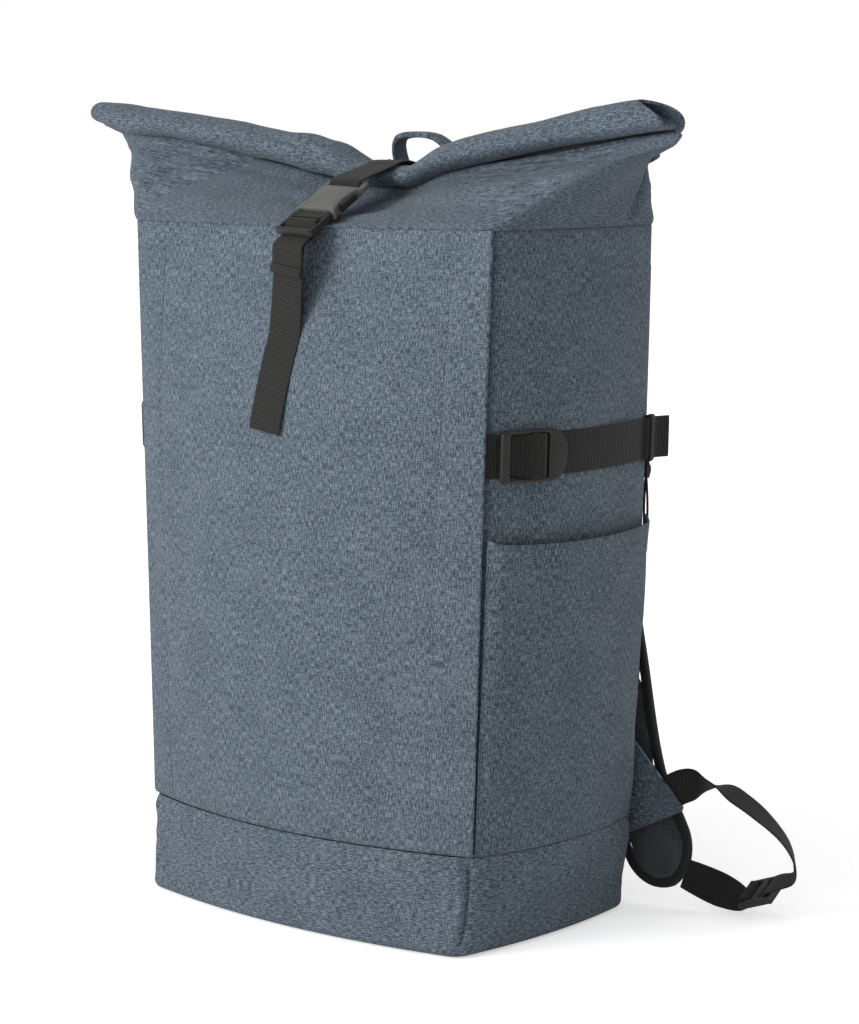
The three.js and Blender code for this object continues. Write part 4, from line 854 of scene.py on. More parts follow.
def front_panel():
    """Grid across and up the front surface; the columns crowd towards the hemmed edges."""
    z = panel_heights(130)[:, None]
    points = front_surface(*np.broadcast_arrays(crowded(120, 1.35)[None] * panel_edge(z), z))
    obj = cloth_sheet("front_panel_cloth", points, PANEL["thickness"], bevel=1.1)
    return dressed(obj, panel_cloth, "cloth", "front_panel")


def side_detail(around, z):
    """Height of the side's soft forms.

    Hills over and under the strap, slow and fine folds, and a groove behind the front panel's lip.
    """
    across = np.clip(around - 2, 0, 1)
    held = arch(across) * (2.2 * hill(z - 396, 24) + 1.8 * hill(z - 300, 22))
    sides_held = smooth(0, 0.12, across) * smooth(0, 0.1, 1 - across)
    folds = 2.0 * crumple(across * 2.6, z / 120, seed=11) * sides_held
    fine = 0.7 * crumple(across * 7, z / 38, seed=17) * arch(across)
    fade = smooth(0, 22, z - BODY["band"]) * smooth(0, 24, BODY["seam"] - z)
    near_strap = 1 - 0.9 * hill(z - SIDE_STRAP["height"], 17)
    behind_lip = -6.0 * hill(around - 1.42, 0.36) * mix(1.0, 0.4, z / BODY["seam"])
    return (held + (folds + fine) * fade) * near_strap + behind_lip


def side_panel():
    """Skin of the right side from behind the front panel to the back seam, with its soft forms."""
    around = np.concatenate([np.linspace(0.978, 1.0, 2)[:-1], np.linspace(1, 2, 8)[:-1],
                             np.linspace(2, 3, 70)[:-1], np.linspace(3, 3.494, 12)])
    z = panel_heights(120)[:, None]
    behind = np.where(around < 1, CLEARANCE, 0)
    points = skin(around[None], z, behind - np.maximum(side_detail(around[None], z), -6.0))
    obj = cloth_sheet("side_cloth_right", points, 2.2, bevel=0.6)
    both_sides(obj, panel_cloth, "cloth", "side_panel_right")


def back_panel():
    """Skin of the back between its two seams."""
    around = np.linspace(3.506, 5.494, 80)[None]
    z = panel_heights(60)[:, None]
    ripples = 0.5 * crumple(around * 3, z / 60, seed=23)
    obj = cloth_sheet("back_cloth", skin(around, z, -ripples), 2.2, bevel=0.6)
    return dressed(obj, panel_cloth, "cloth", "back_panel")


def base_band():
    """Tray: a flat bottom of scaled rings, a quarter circle at the edge and a wall up to its seam."""
    around = round_grid(60, 52, 40, 12, 50, 12, 40, 52)
    radius = BODY["bottom_radius"]
    turn = np.linspace(0, QUARTER, 9)
    wall = np.linspace(radius, BODY["band"] - CLEARANCE / 2, 34)[1:]
    inset = np.concatenate([radius * (1 - np.sin(turn)), np.zeros(len(wall))])[:, None]
    z = np.concatenate([radius * (1 - np.cos(turn)), wall])[:, None]
    level = np.broadcast_to(z, (len(z), len(around)))
    place = np.broadcast_to(around, level.shape)
    from_seam = np.abs(from_front_middle(place) - 1.0)
    seam = -2.4 * hill(from_seam, 0.05) + 0.7 * hill(from_seam - 0.22, 0.12)
    soft = 1.0 * crumple(place * 2.2, level / 26, seed=31) + 0.4 * crumple(place * 6, level / 12, seed=33)
    bow = 1.6 * arch(level / BODY["band"]) * hill(from_front_middle(place), 0.8)
    lip = -1.6 * smooth(4, 0, BODY["band"] - level)
    fade = smooth(3, 20, level) * smooth(0, 9, BODY["band"] - level)
    shell = skin(place, level, inset - band_proud(place) - (seam + soft + bow) * fade - lip)
    shell[..., 2] = level
    rim = skin(around, 0.0, radius - band_proud(around))
    flat = np.stack([rim * np.array([s, s, 0]) for s in (0.02, 0.2, 0.4, 0.6, 0.8, 0.92)])
    points = np.concatenate([flat, shell])
    walked = np.concatenate([np.zeros(1), np.cumsum(np.linalg.norm(np.diff(shell[-1], axis=0), axis=-1))])
    upward = lengths(points, 0).mean(1)
    uv = np.stack(np.broadcast_arrays(walked[None], upward[:, None]), -1)
    obj = cloth_sheet("base_cloth", points, 2.2, close=True, bevel=0.6, uv=uv,
                      outside=np.array([0, 0, 40.0]))
    return dressed(obj, band_cloth, "cloth", "base_band", "base_panel")


def collar_detail(around, share):
    """Height of the collar's folds: wrinkles that grow towards the buckle, a foot hem, gusset creases."""
    turn = np.mod(around, 8)
    x = skin(around, BODY["seam"])[..., 0]
    near = 0.5 + 1.1 * hill(x, 70)
    level = 1.5 * crumple(x / 75, share * 3.2, seed=41) * near
    fine = 0.6 * crumple(x / 26, share * 8, seed=43)
    hem = 0.9 * smooth(0.16, 0.05, share)
    crease = hill(from_front_middle(around) - 2.3, 0.035)
    gusset = -5.0 * crease * smooth(0.02, 0.12, share) * smooth(0.9, 0.7, share)
    return (level + fine) * smooth(0, 0.2, share) * smooth(1.0, 0.85, share) + hem + gusset


def softened(rings, reach):
    """Closed rings with each point replaced by a mean of places up to a reach behind and ahead of it.

    The weights fall off as half a cosine wave, and the places are measured along the ring.
    """
    offsets = np.linspace(-1, 1, 11)
    weights = np.cos(offsets * QUARTER * 0.95)
    closed = np.concatenate([rings, rings[:, :1]], 1)
    walked = lengths(closed, 1)
    soft = np.zeros_like(rings)
    for row, (ring, length) in enumerate(zip(closed, walked)):
        for offset, weight in zip(offsets, weights):
            at = length[:-1] + offset * reach[row]
            place = [np.interp(at, length, ring[:, i], period=length[-1]) for i in range(3)]
            soft[row] += weight * np.stack(place, -1)
    return soft / weights.sum()


def collar_lean(x, share):
    """How far the collar's two ends move along X.

    Its top moves right under the roll's right end and away from the left one, its foot a little left.
    """
    ends = COLLAR_ENDS
    right = ends["right_top"] * smooth(0.6, 0.92, share) + ends["right_foot"] * hill(share - 0.12, 0.2)
    left = ends["left_top"] * smooth(0.78, 1.0, share) + ends["left_middle"] * hill(share - 0.5, 0.22)
    left = left + ends["left_foot"] * hill(share - 0.1, 0.2)
    return smooth(110, 165, np.abs(x)) * np.where(x > 0, right, left)


def collar():
    """Loft of the collar with its folds raised along its normal."""
    around = round_grid(90, 10, 60, 14, 70, 14, 60, 10)[None]
    share = np.linspace(0, 1, 46)[:, None]
    around, share = np.broadcast_arrays(around, share)
    rounding = COLLAR_ENDS["rounding"] * smooth(0.03, 0.3, share) * smooth(1, 0.8, share)
    points = softened(collar_point(around, share), rounding)
    points = points + surface_normal(collar_point, around, share) * collar_detail(around, share)[..., None]
    points[..., 0] += collar_lean(points[..., 0], share)
    points[..., 2] += COLLAR_ENDS["lift"] * smooth(0.88, 1.0, share)
    foot = points[0]
    walked = np.concatenate([np.zeros(1), np.cumsum(np.linalg.norm(np.diff(foot, axis=0), axis=-1))])
    uv = np.stack(np.broadcast_arrays(walked[None], lengths(points, 0).mean(1)[:, None]), -1)
    obj = cloth_sheet("collar_cloth", points, 1.8, close=True, bevel=0.5, uv=uv,
                      outside=np.array([0, 10, 500.0]))
    return dressed(obj, band_cloth, "cloth", "collar")


def pressed(x):
    """Place whose section the roll has at x: nearly constant under the strap, which presses it flat."""
    from_strap = x - closure_across(ROLL["lowest"] + ROLL["height"] / 2)
    return x - from_strap * hill(from_strap, 26)


def rolled_top():
    """Rolled sheet: the flattened spiral with creases that fan out from the buckle.

    The right end is cut slantwise over its top and its inner windings lie deep; the left end is tucked.
    """
    x = (crowded(190, 1.2) * ROLL["half"])[:, None]
    turn = np.linspace(0, ROLL["turns"], 100)[None]
    x, turn = np.broadcast_arrays(x, turn)
    pinch = hill(np.abs(x) - 55, 45)
    creases = 1.1 * crumple(x / 26, turn * 2.4, seed=51) * (0.25 + pinch)
    slow = 1.1 * crumple(x / 85, turn * 1.6, seed=53)
    held = 1 - 0.85 * hill(x - 18, 22)
    place = x / ROLL["half"]
    long_fold = 3.4 * hill(turn - 0.66 - 0.05 * place, 0.05) * smooth(45, 120, x) * smooth(262, 225, x)
    short_fold = 2.6 * hill(turn - 0.62 - 0.0016 * (x + 60), 0.035) * hill(x + 62, 38)
    raised = (creases + slow - long_fold - short_fold) * held * smooth(0, 0.12, turn)
    points = roll_point(pressed(x), turn, -raised)
    cut = ROLL["cut"] * hill(turn - 0.47, 0.17) + ROLL["inner_cut"] * smooth(1.0, 1.5, turn)
    tuck = ROLL["tuck"] + ROLL["inner_tuck"] * smooth(0.75, 1.6, turn)
    points[..., 0] = x - cut * smooth(0.55, 1.0, place) + tuck * smooth(0.7, 1.0, -place)
    uv = np.stack([lengths(points, 0), np.broadcast_to(lengths(points, 1).mean(0)[None], x.shape)], -1)
    obj = cloth_sheet("rolled_cloth", points, ROLL["layer"] - 0.4, bevel=0.7, uv=uv,
                      outside=np.array([0, ROLL["mid_depth"], 560.0]))
    flat = (float(lengths(points, 0)[-1].mean()) * MM, float(lengths(points, 1)[:, -1].mean()) * MM)
    return dressed(obj, band_cloth, "cloth", "rolled_top")


def pocket_point(across, level, out=0.0):
    """Loose layer over the side: skin pushed out by a gap that grows to the hem's middle."""
    around = mix(POCKET["front"], POCKET["back"], across)
    hem = POCKET["hem"] + POCKET["lift"] * (2 * across - 1) ** 2
    z = mix(BODY["band"] + CLEARANCE / 2, hem, level)
    loose = POCKET["gap"] * level ** 2 * arch(across) ** 1.2
    return skin(around, z, -(CLEARANCE + loose + POCKET["thickness"] + out))


def side_pocket():
    """Pocket layer with slack folds from its lower corners and a firm hem."""
    across, level = np.meshgrid(np.linspace(0, 1, 70), np.linspace(0, 1, 80))
    z = mix(BODY["band"], POCKET["hem"], level)
    slack = 1.7 * crumple(across * 3.2, z / 90, seed=61) + 0.7 * crumple(across * 8, z / 34, seed=63)
    fade = arch(across) ** 0.6 * smooth(0, 0.12, level) * smooth(0, 0.06, 1 - level)
    hem = 0.5 * smooth(0.9, 0.93, level)
    points = pocket_point(across, level, slack * fade + hem)
    obj = cloth_sheet("pocket_cloth_right", points, POCKET["thickness"] - 0.2, bevel=0.6)
    both_sides(obj, panel_cloth, "cloth", "side_pocket_right")


front_panel()
side_panel()
back_panel()
base_band()
collar()
rolled_top()
side_pocket()


# Closure
def wrap(centre, towards, normal, radius, steps=6):
    """Half circle round a bar, from the side away from the normal to the side towards it."""
    angle = np.linspace(-QUARTER, QUARTER, steps + 1)[:, None]
    return centre + towards * radius * np.cos(angle) + normal * radius * np.sin(angle)


def wrap_radius(bar, thickness):
    """Half the bar's diagonal plus the clearance and half the webbing's thickness."""
    return math.hypot(bar / 2, thickness / 2) + CLEARANCE + WEBBING["thickness"] / 2


bar_foot = front_point(closure_across(CLOSURE["bar"]), CLOSURE["bar"],
                       PANEL["thickness"] + CLOSURE["standoff"])
roll_front = roll_point(closure_across(ROLL["lowest"]), 0.72, -4.0)
buckle_along = unit(roll_front - bar_foot)
buckle_across = unit(RIGHT - buckle_along * buckle_along[0])
buckle_out = np.cross(buckle_across, buckle_along)
under = collar_point(np.full(13, 0.5), np.linspace(0, 1, 13))
lift_over = ((under - bar_foot) @ buckle_out).max()
bar_centre = bar_foot + buckle_out * (lift_over + BUCKLE["thick"] / 2 + CLEARANCE)
buckle_axes = (buckle_across, buckle_along, buckle_out)


def along_buckle(distance):
    return bar_centre + buckle_along * distance


def same_across(places, across):
    return [{"at": place, "across": across} for place in places]


inner_bar_place = BUCKLE["bar"] / 2 + BUCKLE["window"] - 1.5 * BUCKLE["inner_bar"]


def in_buckle(along, out):
    """Place in the middle of the buckle's width, along it from the end bar and out from its mid-plane."""
    return along_buckle(along) + buckle_out * out


def closure_strap():
    """Webbing sewn to the front, up behind the end bar, over the inner bar and down into a hemmed tail."""
    lift = PANEL["thickness"] + 2 * CLEARANCE + WEBBING["thickness"] / 2
    heights = np.linspace(CLOSURE["sewn"], CLOSURE["leaves"], 7)
    middle = closure_across(heights)
    on_front = front_point(middle, heights, lift)
    level = unit(front_point(middle + 1, heights, 0) - front_point(middle - 1, heights, 0))
    layer = WEBBING["thickness"] + CLEARANCE
    behind = BUCKLE["frame"] / 2 + CLEARANCE + WEBBING["thickness"] / 2
    radius = wrap_radius(BUCKLE["inner_bar"], BUCKLE["inner_bar"])
    round_bar = wrap(in_buckle(inner_bar_place, 0), buckle_along, buckle_out, radius)
    top = in_buckle(-8, -behind - layer)
    rising = [mix(on_front[-1], top, 0.5), top, in_buckle(0, -behind - layer), in_buckle(6, -behind - 0.6)]
    outward_way = unit(np.cross(buckle_across, top - on_front[-1]))
    tail = [mix(top, on_front[-1], share) + outward_way * layer for share in (0.0, 0.11, 0.22, 0.33)]
    falling = [in_buckle(6.4, 1.2), in_buckle(3.5, -1.9), in_buckle(0, -behind), *tail]
    stations = [{"at": at, "across": across} for at, across in zip(on_front, level)]
    stations += same_across([*rising, *round_bar, *falling], buckle_across)
    centres, across = through(stations)
    strap = carried(centres, across, flat_oval(WEBBING["closure"], WEBBING["thickness"]))
    hem_ends = np.linspace(mix(tail[-2], tail[-1], 0.2), tail[-1] + outward_way * 0.4, 5)
    hem = carried(hem_ends, np.broadcast_to(buckle_across, (5, 3)),
                  rounded_bar(WEBBING["closure"] + 1.5, 2 * WEBBING["thickness"] + 0.8, 1.5))
    obj = creased(outward(joined("closure_webbing", [strap, hem])), 60)
    return dressed(obj, strap_cloth, "webbing", "closure_strap")


def over_roll_strap():
    """Webbing from the buckle's end bar, over the roll and down the collar's back."""
    total = BUCKLE["male"] + BUCKLE["female"] + BUCKLE["loop"]
    end_bar = along_buckle(total - BUCKLE["rail"] / 2)
    round_bar = wrap(end_bar, -buckle_along, buckle_out, wrap_radius(BUCKLE["rail"], BUCKLE["bar"]))
    lift = CLEARANCE + WEBBING["thickness"] / 2
    top = closure_across(ROLL["lowest"] + ROLL["height"] / 2)
    width = top + np.linspace(-0.5, 0.5, 5)[:, None] * WEBBING["closure"]
    spread = roll_point(pressed(width), np.linspace(0.58, 0.3, 9)[None], -lift - 1.6)
    over = np.stack([np.full(9, top), spread[2, :, 1], spread[:, :, 2].max(0)], -1)
    share = np.array([5, 4, 3, 2, 1]) / 6
    around = np.full(5, 4.5)
    down = (collar_point(around, share)
            + surface_normal(collar_point, around, share) * (lift + 1 + 1.6 * share[:, None] ** 2))
    loose = round_bar[0] + buckle_along * 3 + buckle_out * 0.4
    stations = same_across([loose, *round_bar], buckle_across) + same_across([*over, *down], RIGHT)
    obj = webbing_band("top_webbing", stations, WEBBING["closure"])
    return dressed(obj, strap_cloth, "webbing", "over_roll_strap")


def buckle_male():
    """Male half: a frame round its window, an adjusting bar, and shoulders that enter the other half."""
    half = BUCKLE["width"] / 2 - 2
    inside = WEBBING["closure"] / 2 + CLEARANCE
    top = BUCKLE["bar"] / 2 + BUCKLE["window"]
    outer = outline_box(-half, half, -BUCKLE["bar"] / 2, BUCKLE["male"] - CLEARANCE, [(2.5, 2.5)] * 4)
    inner = outline_box(-inside, inside, BUCKLE["bar"] / 2, top, [(1.2, 1.2)] * 4)
    shells = [placed_shell(ring_plate(outer, inner, BUCKLE["frame"], 1.0), bar_centre, *buckle_axes)]
    for side in (-1, 1):
        start = along_buckle(top + 2) + buckle_across * side * (half - 4)
        end = along_buckle(BUCKLE["male"] - 1) + buckle_across * side * (half - 5)
        shells.append(bar_shell(start, end, buckle_across, 6, BUCKLE["frame"] + 1.2, 1.4))
    middle = in_buckle(inner_bar_place, 0)
    reach = buckle_across * (inside + 0.4)
    shells.append(bar_shell(middle - reach, middle + reach, buckle_along, BUCKLE["inner_bar"],
                            BUCKLE["inner_bar"], 1.0))
    reach = buckle_across * inside
    for step in (-1.2, 1.2):
        at = in_buckle(step, BUCKLE["frame"] / 2)
        shells.append(bar_shell(at - reach, at + reach, buckle_along, 0.8, 0.6, 0.25))
    obj = creased(outward(joined("buckle_frame", shells)), 45)
    return dressed(obj, plastic, "plastic", "buckle_male")


def buckle_female():
    """Female half: a waisted body of rounded sections, a loop for the webbing, and the prongs in it."""
    start, end = BUCKLE["male"], BUCKLE["male"] + BUCKLE["female"]
    place = np.linspace(0, 1, 26)
    half = BUCKLE["width"] / 2 - BUCKLE["waist"] * arch(place) ** 0.7
    thick = BUCKLE["thick"] / 2 * (1 - 0.12 * (2 * place - 1) ** 6)
    crown = 1 - 0.18 * smooth(0.0, 0.12, 0.12 - place) - 0.25 * smooth(0.88, 1.0, place)
    centres = along_buckle(start) + buckle_along * (place * (end - start))[:, None]
    profile = rounded_bar(2, 2, 0.45, 6)
    across, out = (np.broadcast_to(way, centres.shape) for way in (buckle_across, buckle_out))
    body_shell = carried(centres, across, profile, np.stack([half, thick * crown], -1), out)[:2]
    inside = WEBBING["closure"] / 2 + CLEARANCE
    wide = BUCKLE["width"] / 2
    loop_end = end + BUCKLE["loop"]
    outer = outline_box(-wide, wide, end - 2, loop_end, [(2.5, 2.5)] * 4)
    inner = outline_box(-inside, inside, end, loop_end - BUCKLE["rail"], [(1.2, 1.2)] * 4)
    loop = placed_shell(ring_plate(outer, inner, BUCKLE["bar"], 0.9), bar_centre, *buckle_axes)
    obj = creased(outward(joined("buckle_body", [body_shell, loop])), 45)
    dressed(obj, buckle_plastic, "plastic", "buckle_female")
    prongs = []
    for side in (-1, 1):
        a = along_buckle(start + 9) + buckle_across * side * (wide - 2.6)
        b = along_buckle(start + 24) + buckle_across * side * (wide - 2.6)
        prongs.append(bar_shell(a, b, buckle_across, 4.4, 6.2, 1.6))
    return dressed(creased(outward(joined("buckle_prongs", prongs)), 45), plastic, "plastic")


closure_strap()
over_roll_strap()
buckle_male()
buckle_female()


# Side strap
def side_skin(depth, height):
    """Skin of the right side at a depth and height."""
    first = BODY["front_radius"] - front_depth(height)
    last = back_depth(height) - BODY["back_radius"]
    return skin(2 + np.clip((depth - first) / (last - first), 0, 0.999), height)


def side_axes(y, z):
    """Place on the right side with its directions rearward, upward and outwards."""
    origin = side_skin(y, z)
    rearward = unit(side_skin(y + 1, z) - side_skin(y - 1, z))
    upward = unit(side_skin(y, z + 1) - side_skin(y, z - 1))
    return origin, rearward, upward, np.cross(rearward, upward)


SLIDER_MIDDLE = (SLIDER["start"] + SLIDER["end"]) / 2
SLIDER_BACK = WEBBING["thickness"] + 2 * CLEARANCE + 0.4
slide_origin, slide_rear, slide_up, slide_out = side_axes(SLIDER_MIDDLE, SIDE_STRAP["height"])


def corner_axes(around, z):
    """Place on the rounded corner with its directions along the skin and outwards."""
    at = skin(around, z)
    along = unit(skin(around + 0.04, z) - skin(around - 0.04, z))
    return at, along, np.cross(along, UP)


keeper_at, keeper_along, keeper_out = corner_axes(SIDE_STRAP["keeper_around"], SIDE_STRAP["height"])
keeper_lift = SIDE_STRAP["keeper_wall"] + 3 * CLEARANCE + WEBBING["thickness"] / 2
keeper_centre = keeper_at + keeper_out * keeper_lift


def side_strap():
    """Webbing through the slider over its bar, along the side and through the keeper to its tail."""
    offset = CLEARANCE + WEBBING["thickness"] / 2
    over_bar = SLIDER_BACK + SLIDER["thickness"] + offset

    def local(depth, out):
        return slide_origin + slide_rear * (depth - SLIDER_MIDDLE) + slide_out * out

    def on_skin(around):
        return skin(around, SIDE_STRAP["height"], -offset)

    places = [
        on_skin(1.3), on_skin(1.6), on_skin(1.9),
        local(SLIDER["start"] + 4, offset - 1), local(SLIDER["start"] + 9, offset),
        local(SLIDER["window"] - 4.5, over_bar - 2), local(SLIDER["window"] - 0.8, over_bar),
        local(SLIDER["bar"] + 0.8, over_bar), local(SLIDER["bar"] + 2.7, over_bar - 2),
        local(SLIDER["slot"] - 1.6, offset + 1.4), local(SLIDER["slot"] + 1.2, offset),
        *[on_skin(a) for a in np.linspace(2.32, 2.96, 8)],
        keeper_centre - keeper_along * (SIDE_STRAP["keeper"] / 2 + 2), keeper_centre,
        *[keeper_centre + keeper_along * row["along"] + keeper_out * row["out"] for row in SIDE_TAIL],
    ]
    obj = webbing_band("side_webbing_right", same_across(places, slide_up), WEBBING["side"])
    both_sides(obj, strap_cloth, "webbing", "side_strap_right")


def side_slider():
    """Slider: a frame with a round tab, and a bar between its window and its slot."""
    def local(depth):
        return depth - SLIDER_MIDDLE
    half = SLIDER["height"] / 2
    inside = WEBBING["side"] / 2 + CLEARANCE
    tab = SLIDER["end"] - SLIDER["slot"] - SLIDER["corner"]
    outer = outline_box(local(SLIDER["start"]), local(SLIDER["end"]), -half, half,
                        [(tab, half), (4, 4), (4, 4), (tab, half)])
    inner = outline_box(local(SLIDER["start"]) + SLIDER["rail"], local(SLIDER["slot"]), -inside, inside,
                        [(1.4, 1.4)] * 4)
    centre = slide_origin + slide_out * (SLIDER_BACK + SLIDER["thickness"] / 2)
    frame_shell = ring_plate(outer, inner, SLIDER["thickness"], 1.3)
    middle = centre + slide_rear * local((SLIDER["window"] + SLIDER["bar"]) / 2)
    reach = slide_up * (inside + 0.4)
    shells = [placed_shell(frame_shell, centre, slide_rear, slide_up, slide_out),
              bar_shell(middle - reach, middle + reach, slide_rear, SLIDER["bar"] - SLIDER["window"],
                        SLIDER["thickness"], 1.2)]
    obj = creased(outward(joined("slider_right", shells)), 45)
    both_sides(obj, plastic, "plastic", "side_slider_right")


def strap_keeper():
    """Sewn loop round the strap: a thin band carried round a rounded rectangle."""
    x = WEBBING["thickness"] / 2 + CLEARANCE + SIDE_STRAP["keeper_wall"] / 2
    y = WEBBING["side"] / 2 + CLEARANCE + SIDE_STRAP["keeper_wall"] / 2
    loop = outline_box(-x, x, -y, y, [(1.0, 1.4)] * 4, 5)
    second = unit(slide_up - keeper_along * (slide_up @ keeper_along))
    third = -keeper_along
    first = np.cross(second, third)
    way = inset_way(loop)
    half, wall = SIDE_STRAP["keeper"] / 2, SIDE_STRAP["keeper_wall"] / 2
    section = rounded_bar(2 * half, 2 * wall, 0.5, 2)
    points = []
    for along, out in section:
        flat = loop - way * out
        points.append(keeper_centre + flat[:, :1] * first + flat[:, 1:] * second + third * along)
    grid = np.stack(points)
    faces = grid_faces(*grid.shape[:2], close=True, ring=True)
    uv = np.stack(np.broadcast_arrays(section[:, :1], lengths(loop[None], 1)), -1)
    obj = creased(outward(new_mesh("keeper_right", grid, faces.tolist(), uv)), 50)
    both_sides(obj, strap_cloth, "webbing", "strap_keeper_right")


side_strap()
side_slider()
strap_keeper()


# Zip
zip_at, zip_along, zip_out = corner_axes(ZIP["around"], ZIP["slider"])


def zip_parts():
    """Tape on the corner with its row of teeth, the slider's body and a looped cord puller."""
    half_turn = ZIP["width"] / 2 / (QUARTER * BODY["back_radius"])
    around = np.linspace(ZIP["around"] - half_turn, ZIP["around"] + half_turn, 14)[None]
    z = np.linspace(ZIP["bottom"], ZIP["top"], 90)[:, None]
    place = (around - ZIP["around"]) / half_turn
    ridge = 0.5 * hill(np.abs(place) - 0.22, 0.12) - 0.5 * hill(place, 0.1)
    points = skin(around, z, -(CLEARANCE + ZIP["proud"] + 0.4 * ridge))
    tape = cloth_sheet("zip_cloth", points, ZIP["thickness"] / 4, bevel=0.1)
    dressed(tape, binding_cloth, "webbing", "zip_tape")
    lift = 2 * CLEARANCE + ZIP["thickness"] + 2
    centre = zip_at + zip_out * lift
    profile = rounded_bar(8, 4, 1.4, 4)
    share = np.linspace(-1, 1, 9)
    width = 1 - 0.3 * np.maximum(share, 0) ** 2 - 0.12 * (share < -0.9)
    centres = centre + UP * (share * 6)[:, None]
    across, out = (np.broadcast_to(way, (9, 3)) for way in (zip_along, zip_out))
    shell = carried(centres, across, profile, np.stack([width, 1 - 0.3 * share ** 4], -1), out)[:2]
    arc = np.linspace(0, np.pi, 9)[:, None]
    bridge = centre + zip_out * (1.6 + 1.6 * np.sin(arc)) + UP * (4 * np.cos(arc))
    shells = [shell, carried(bridge, across, rounded_bar(2.4, 0.9, 0.3))[:2]]
    dressed(creased(outward(joined("zip_body", shells)), 45), plastic, "plastic", "zip_slider")
    half = (ZIP["puller"] - ZIP["cord"]) / 2
    drop = ZIP["drop"] - ZIP["cord"]
    turn = np.linspace(0, TAU, 48, endpoint=False)
    loop_x = half * np.sign(np.cos(turn)) * np.abs(np.cos(turn)) ** 0.8
    loop_z = -drop / 2 + drop / 2 * np.sign(np.sin(turn)) * np.abs(np.sin(turn)) ** 0.55
    loop_x = loop_x * (0.55 + 0.45 * smooth(0, 0.5, -loop_z / drop))
    top = centre - UP * (6 + CLEARANCE)
    ring = top + zip_along * loop_x[:, None] + UP * loop_z[:, None]
    ring = np.concatenate([ring, ring[:1]])
    tangent = unit(np.gradient(ring, axis=0))
    tangent[0] = tangent[-1] = unit(tangent[0] + tangent[-1])
    angle = np.linspace(0, TAU, 10, endpoint=False)
    side = np.cross(tangent, zip_out)
    tube = (ring[:-1, None] + side[:-1, None] * (np.cos(angle) * ZIP["cord"] / 2)[None, :, None]
            + zip_out * (np.sin(angle) * ZIP["cord"] / 2)[None, :, None])
    faces = grid_faces(*tube.shape[:2], close=True, ring=True)
    walked = lengths(ring[:-1][:, None], 0)
    uv = np.stack(np.broadcast_arrays((angle * ZIP["cord"] / 2)[None], walked), -1)
    cord = outward(new_mesh("puller_cord", tube, faces.tolist(), uv))
    dressed(cord, binding_cloth, "webbing", "zip_puller")


zip_parts()


# Handle
def on_collar_back(around, share, lift):
    """Collar's own point plus its normal times a lift."""
    around, share = np.asarray(around, float), np.asarray(share, float)
    return collar_point(around, share) + surface_normal(collar_point, around, share) * lift


def carry_handle():
    """Folded strip: feet on the collar's back, and an arch that follows a quarter sine each way."""
    lift = HANDLE["lift"] + HANDLE["thickness"] / 2
    span = 2 * BODY["top_half"]

    def foot(reach):
        return on_collar_back(4.5 - (HANDLE["half"] + reach) / span, HANDLE["share"], lift)

    low = on_collar_back(4.5 - HANDLE["half"] / span, HANDLE["share"] - 0.05, lift)
    high = on_collar_back(4.5 - HANDLE["half"] / span, HANDLE["share"] + 0.05, lift)
    slope = unit((high - low) * np.array([0, 1, 1]))
    start = foot(0)
    stations = [{"at": foot(HANDLE["foot"]), "across": slope}, {"at": foot(3), "across": slope}]
    for share in np.linspace(0.16, 1, 6):
        height = math.sin(share * QUARTER)
        at = np.array([start[0] * math.cos(share * QUARTER) ** 0.55, mix(start[1], HANDLE["depth"], height),
                       mix(start[2], HANDLE["top"], height)])
        stations.append({"at": at, "across": unit(mix(slope, np.array([0, -1.0, 0]), height))})
    flip = np.array([-1, 1, 1])
    left = [{"at": s["at"] * flip, "across": s["across"]} for s in stations[:-1][::-1]]
    centres, across = through(stations + left, 2.0)
    walked = lengths(centres[:, None], 0)[:, 0]
    folded = arch(walked / walked[-1]) ** 0.7
    scale = np.stack([1 - 0.52 * folded, 1 + 0.5 * folded], -1)
    points, faces, uv = carried(centres, across, flat_oval(HANDLE["width"], HANDLE["thickness"], 28), scale)
    uv = uv[:, ::-1]
    obj = creased(outward(new_mesh("handle_cloth", points, faces, uv)), 60)
    return dressed(obj, band_cloth, "cloth", "carry_handle")


carry_handle()


# Pads and shoulder straps
def pad_middle(height):
    """Middle line of the right pad: table values across and away from the back."""
    z = height * BODY["seam"]
    x = table_value(PAD_ROWS, "height", "across", height) * BODY["base_half"]
    stand = BACK_PAD["thickness"] + YOKE["thickness"] + 3 * CLEARANCE + PAD["thickness"] / 2
    return back_point(x, z, stand + PAD["bow"] * table_value(PAD_ROWS, "height", "bow", height))


def pad_stations():
    """Stations down the pad and round its end: places and half widths."""
    top, low = PAD_ROWS[-1]["height"], PAD_ROWS[0]["height"]
    height = np.linspace(top, low, PAD["rows"])
    at = pad_middle(height)
    half = table_value(PAD_ROWS, "height", "width", height) * PAD["width"] / 2
    onward = unit(at[-1] - at[-2])
    share = np.sin(np.linspace(0, QUARTER, 16)[1:-1])
    share = np.append(share, 0.999)
    at = np.concatenate([at, at[-1] + onward * half[-1] * share[:, None]])
    half = np.concatenate([half, half[-1] * np.sqrt(1 - share ** 2)])
    return at, half


def pad_axes(at):
    """Directions across the pad and away from the back, square to its middle line."""
    tangent = unit(np.gradient(at, axis=0))
    normal = unit(np.array([0, 1.0, 0]) - tangent * tangent[:, 1:2])
    return np.cross(normal, tangent), normal


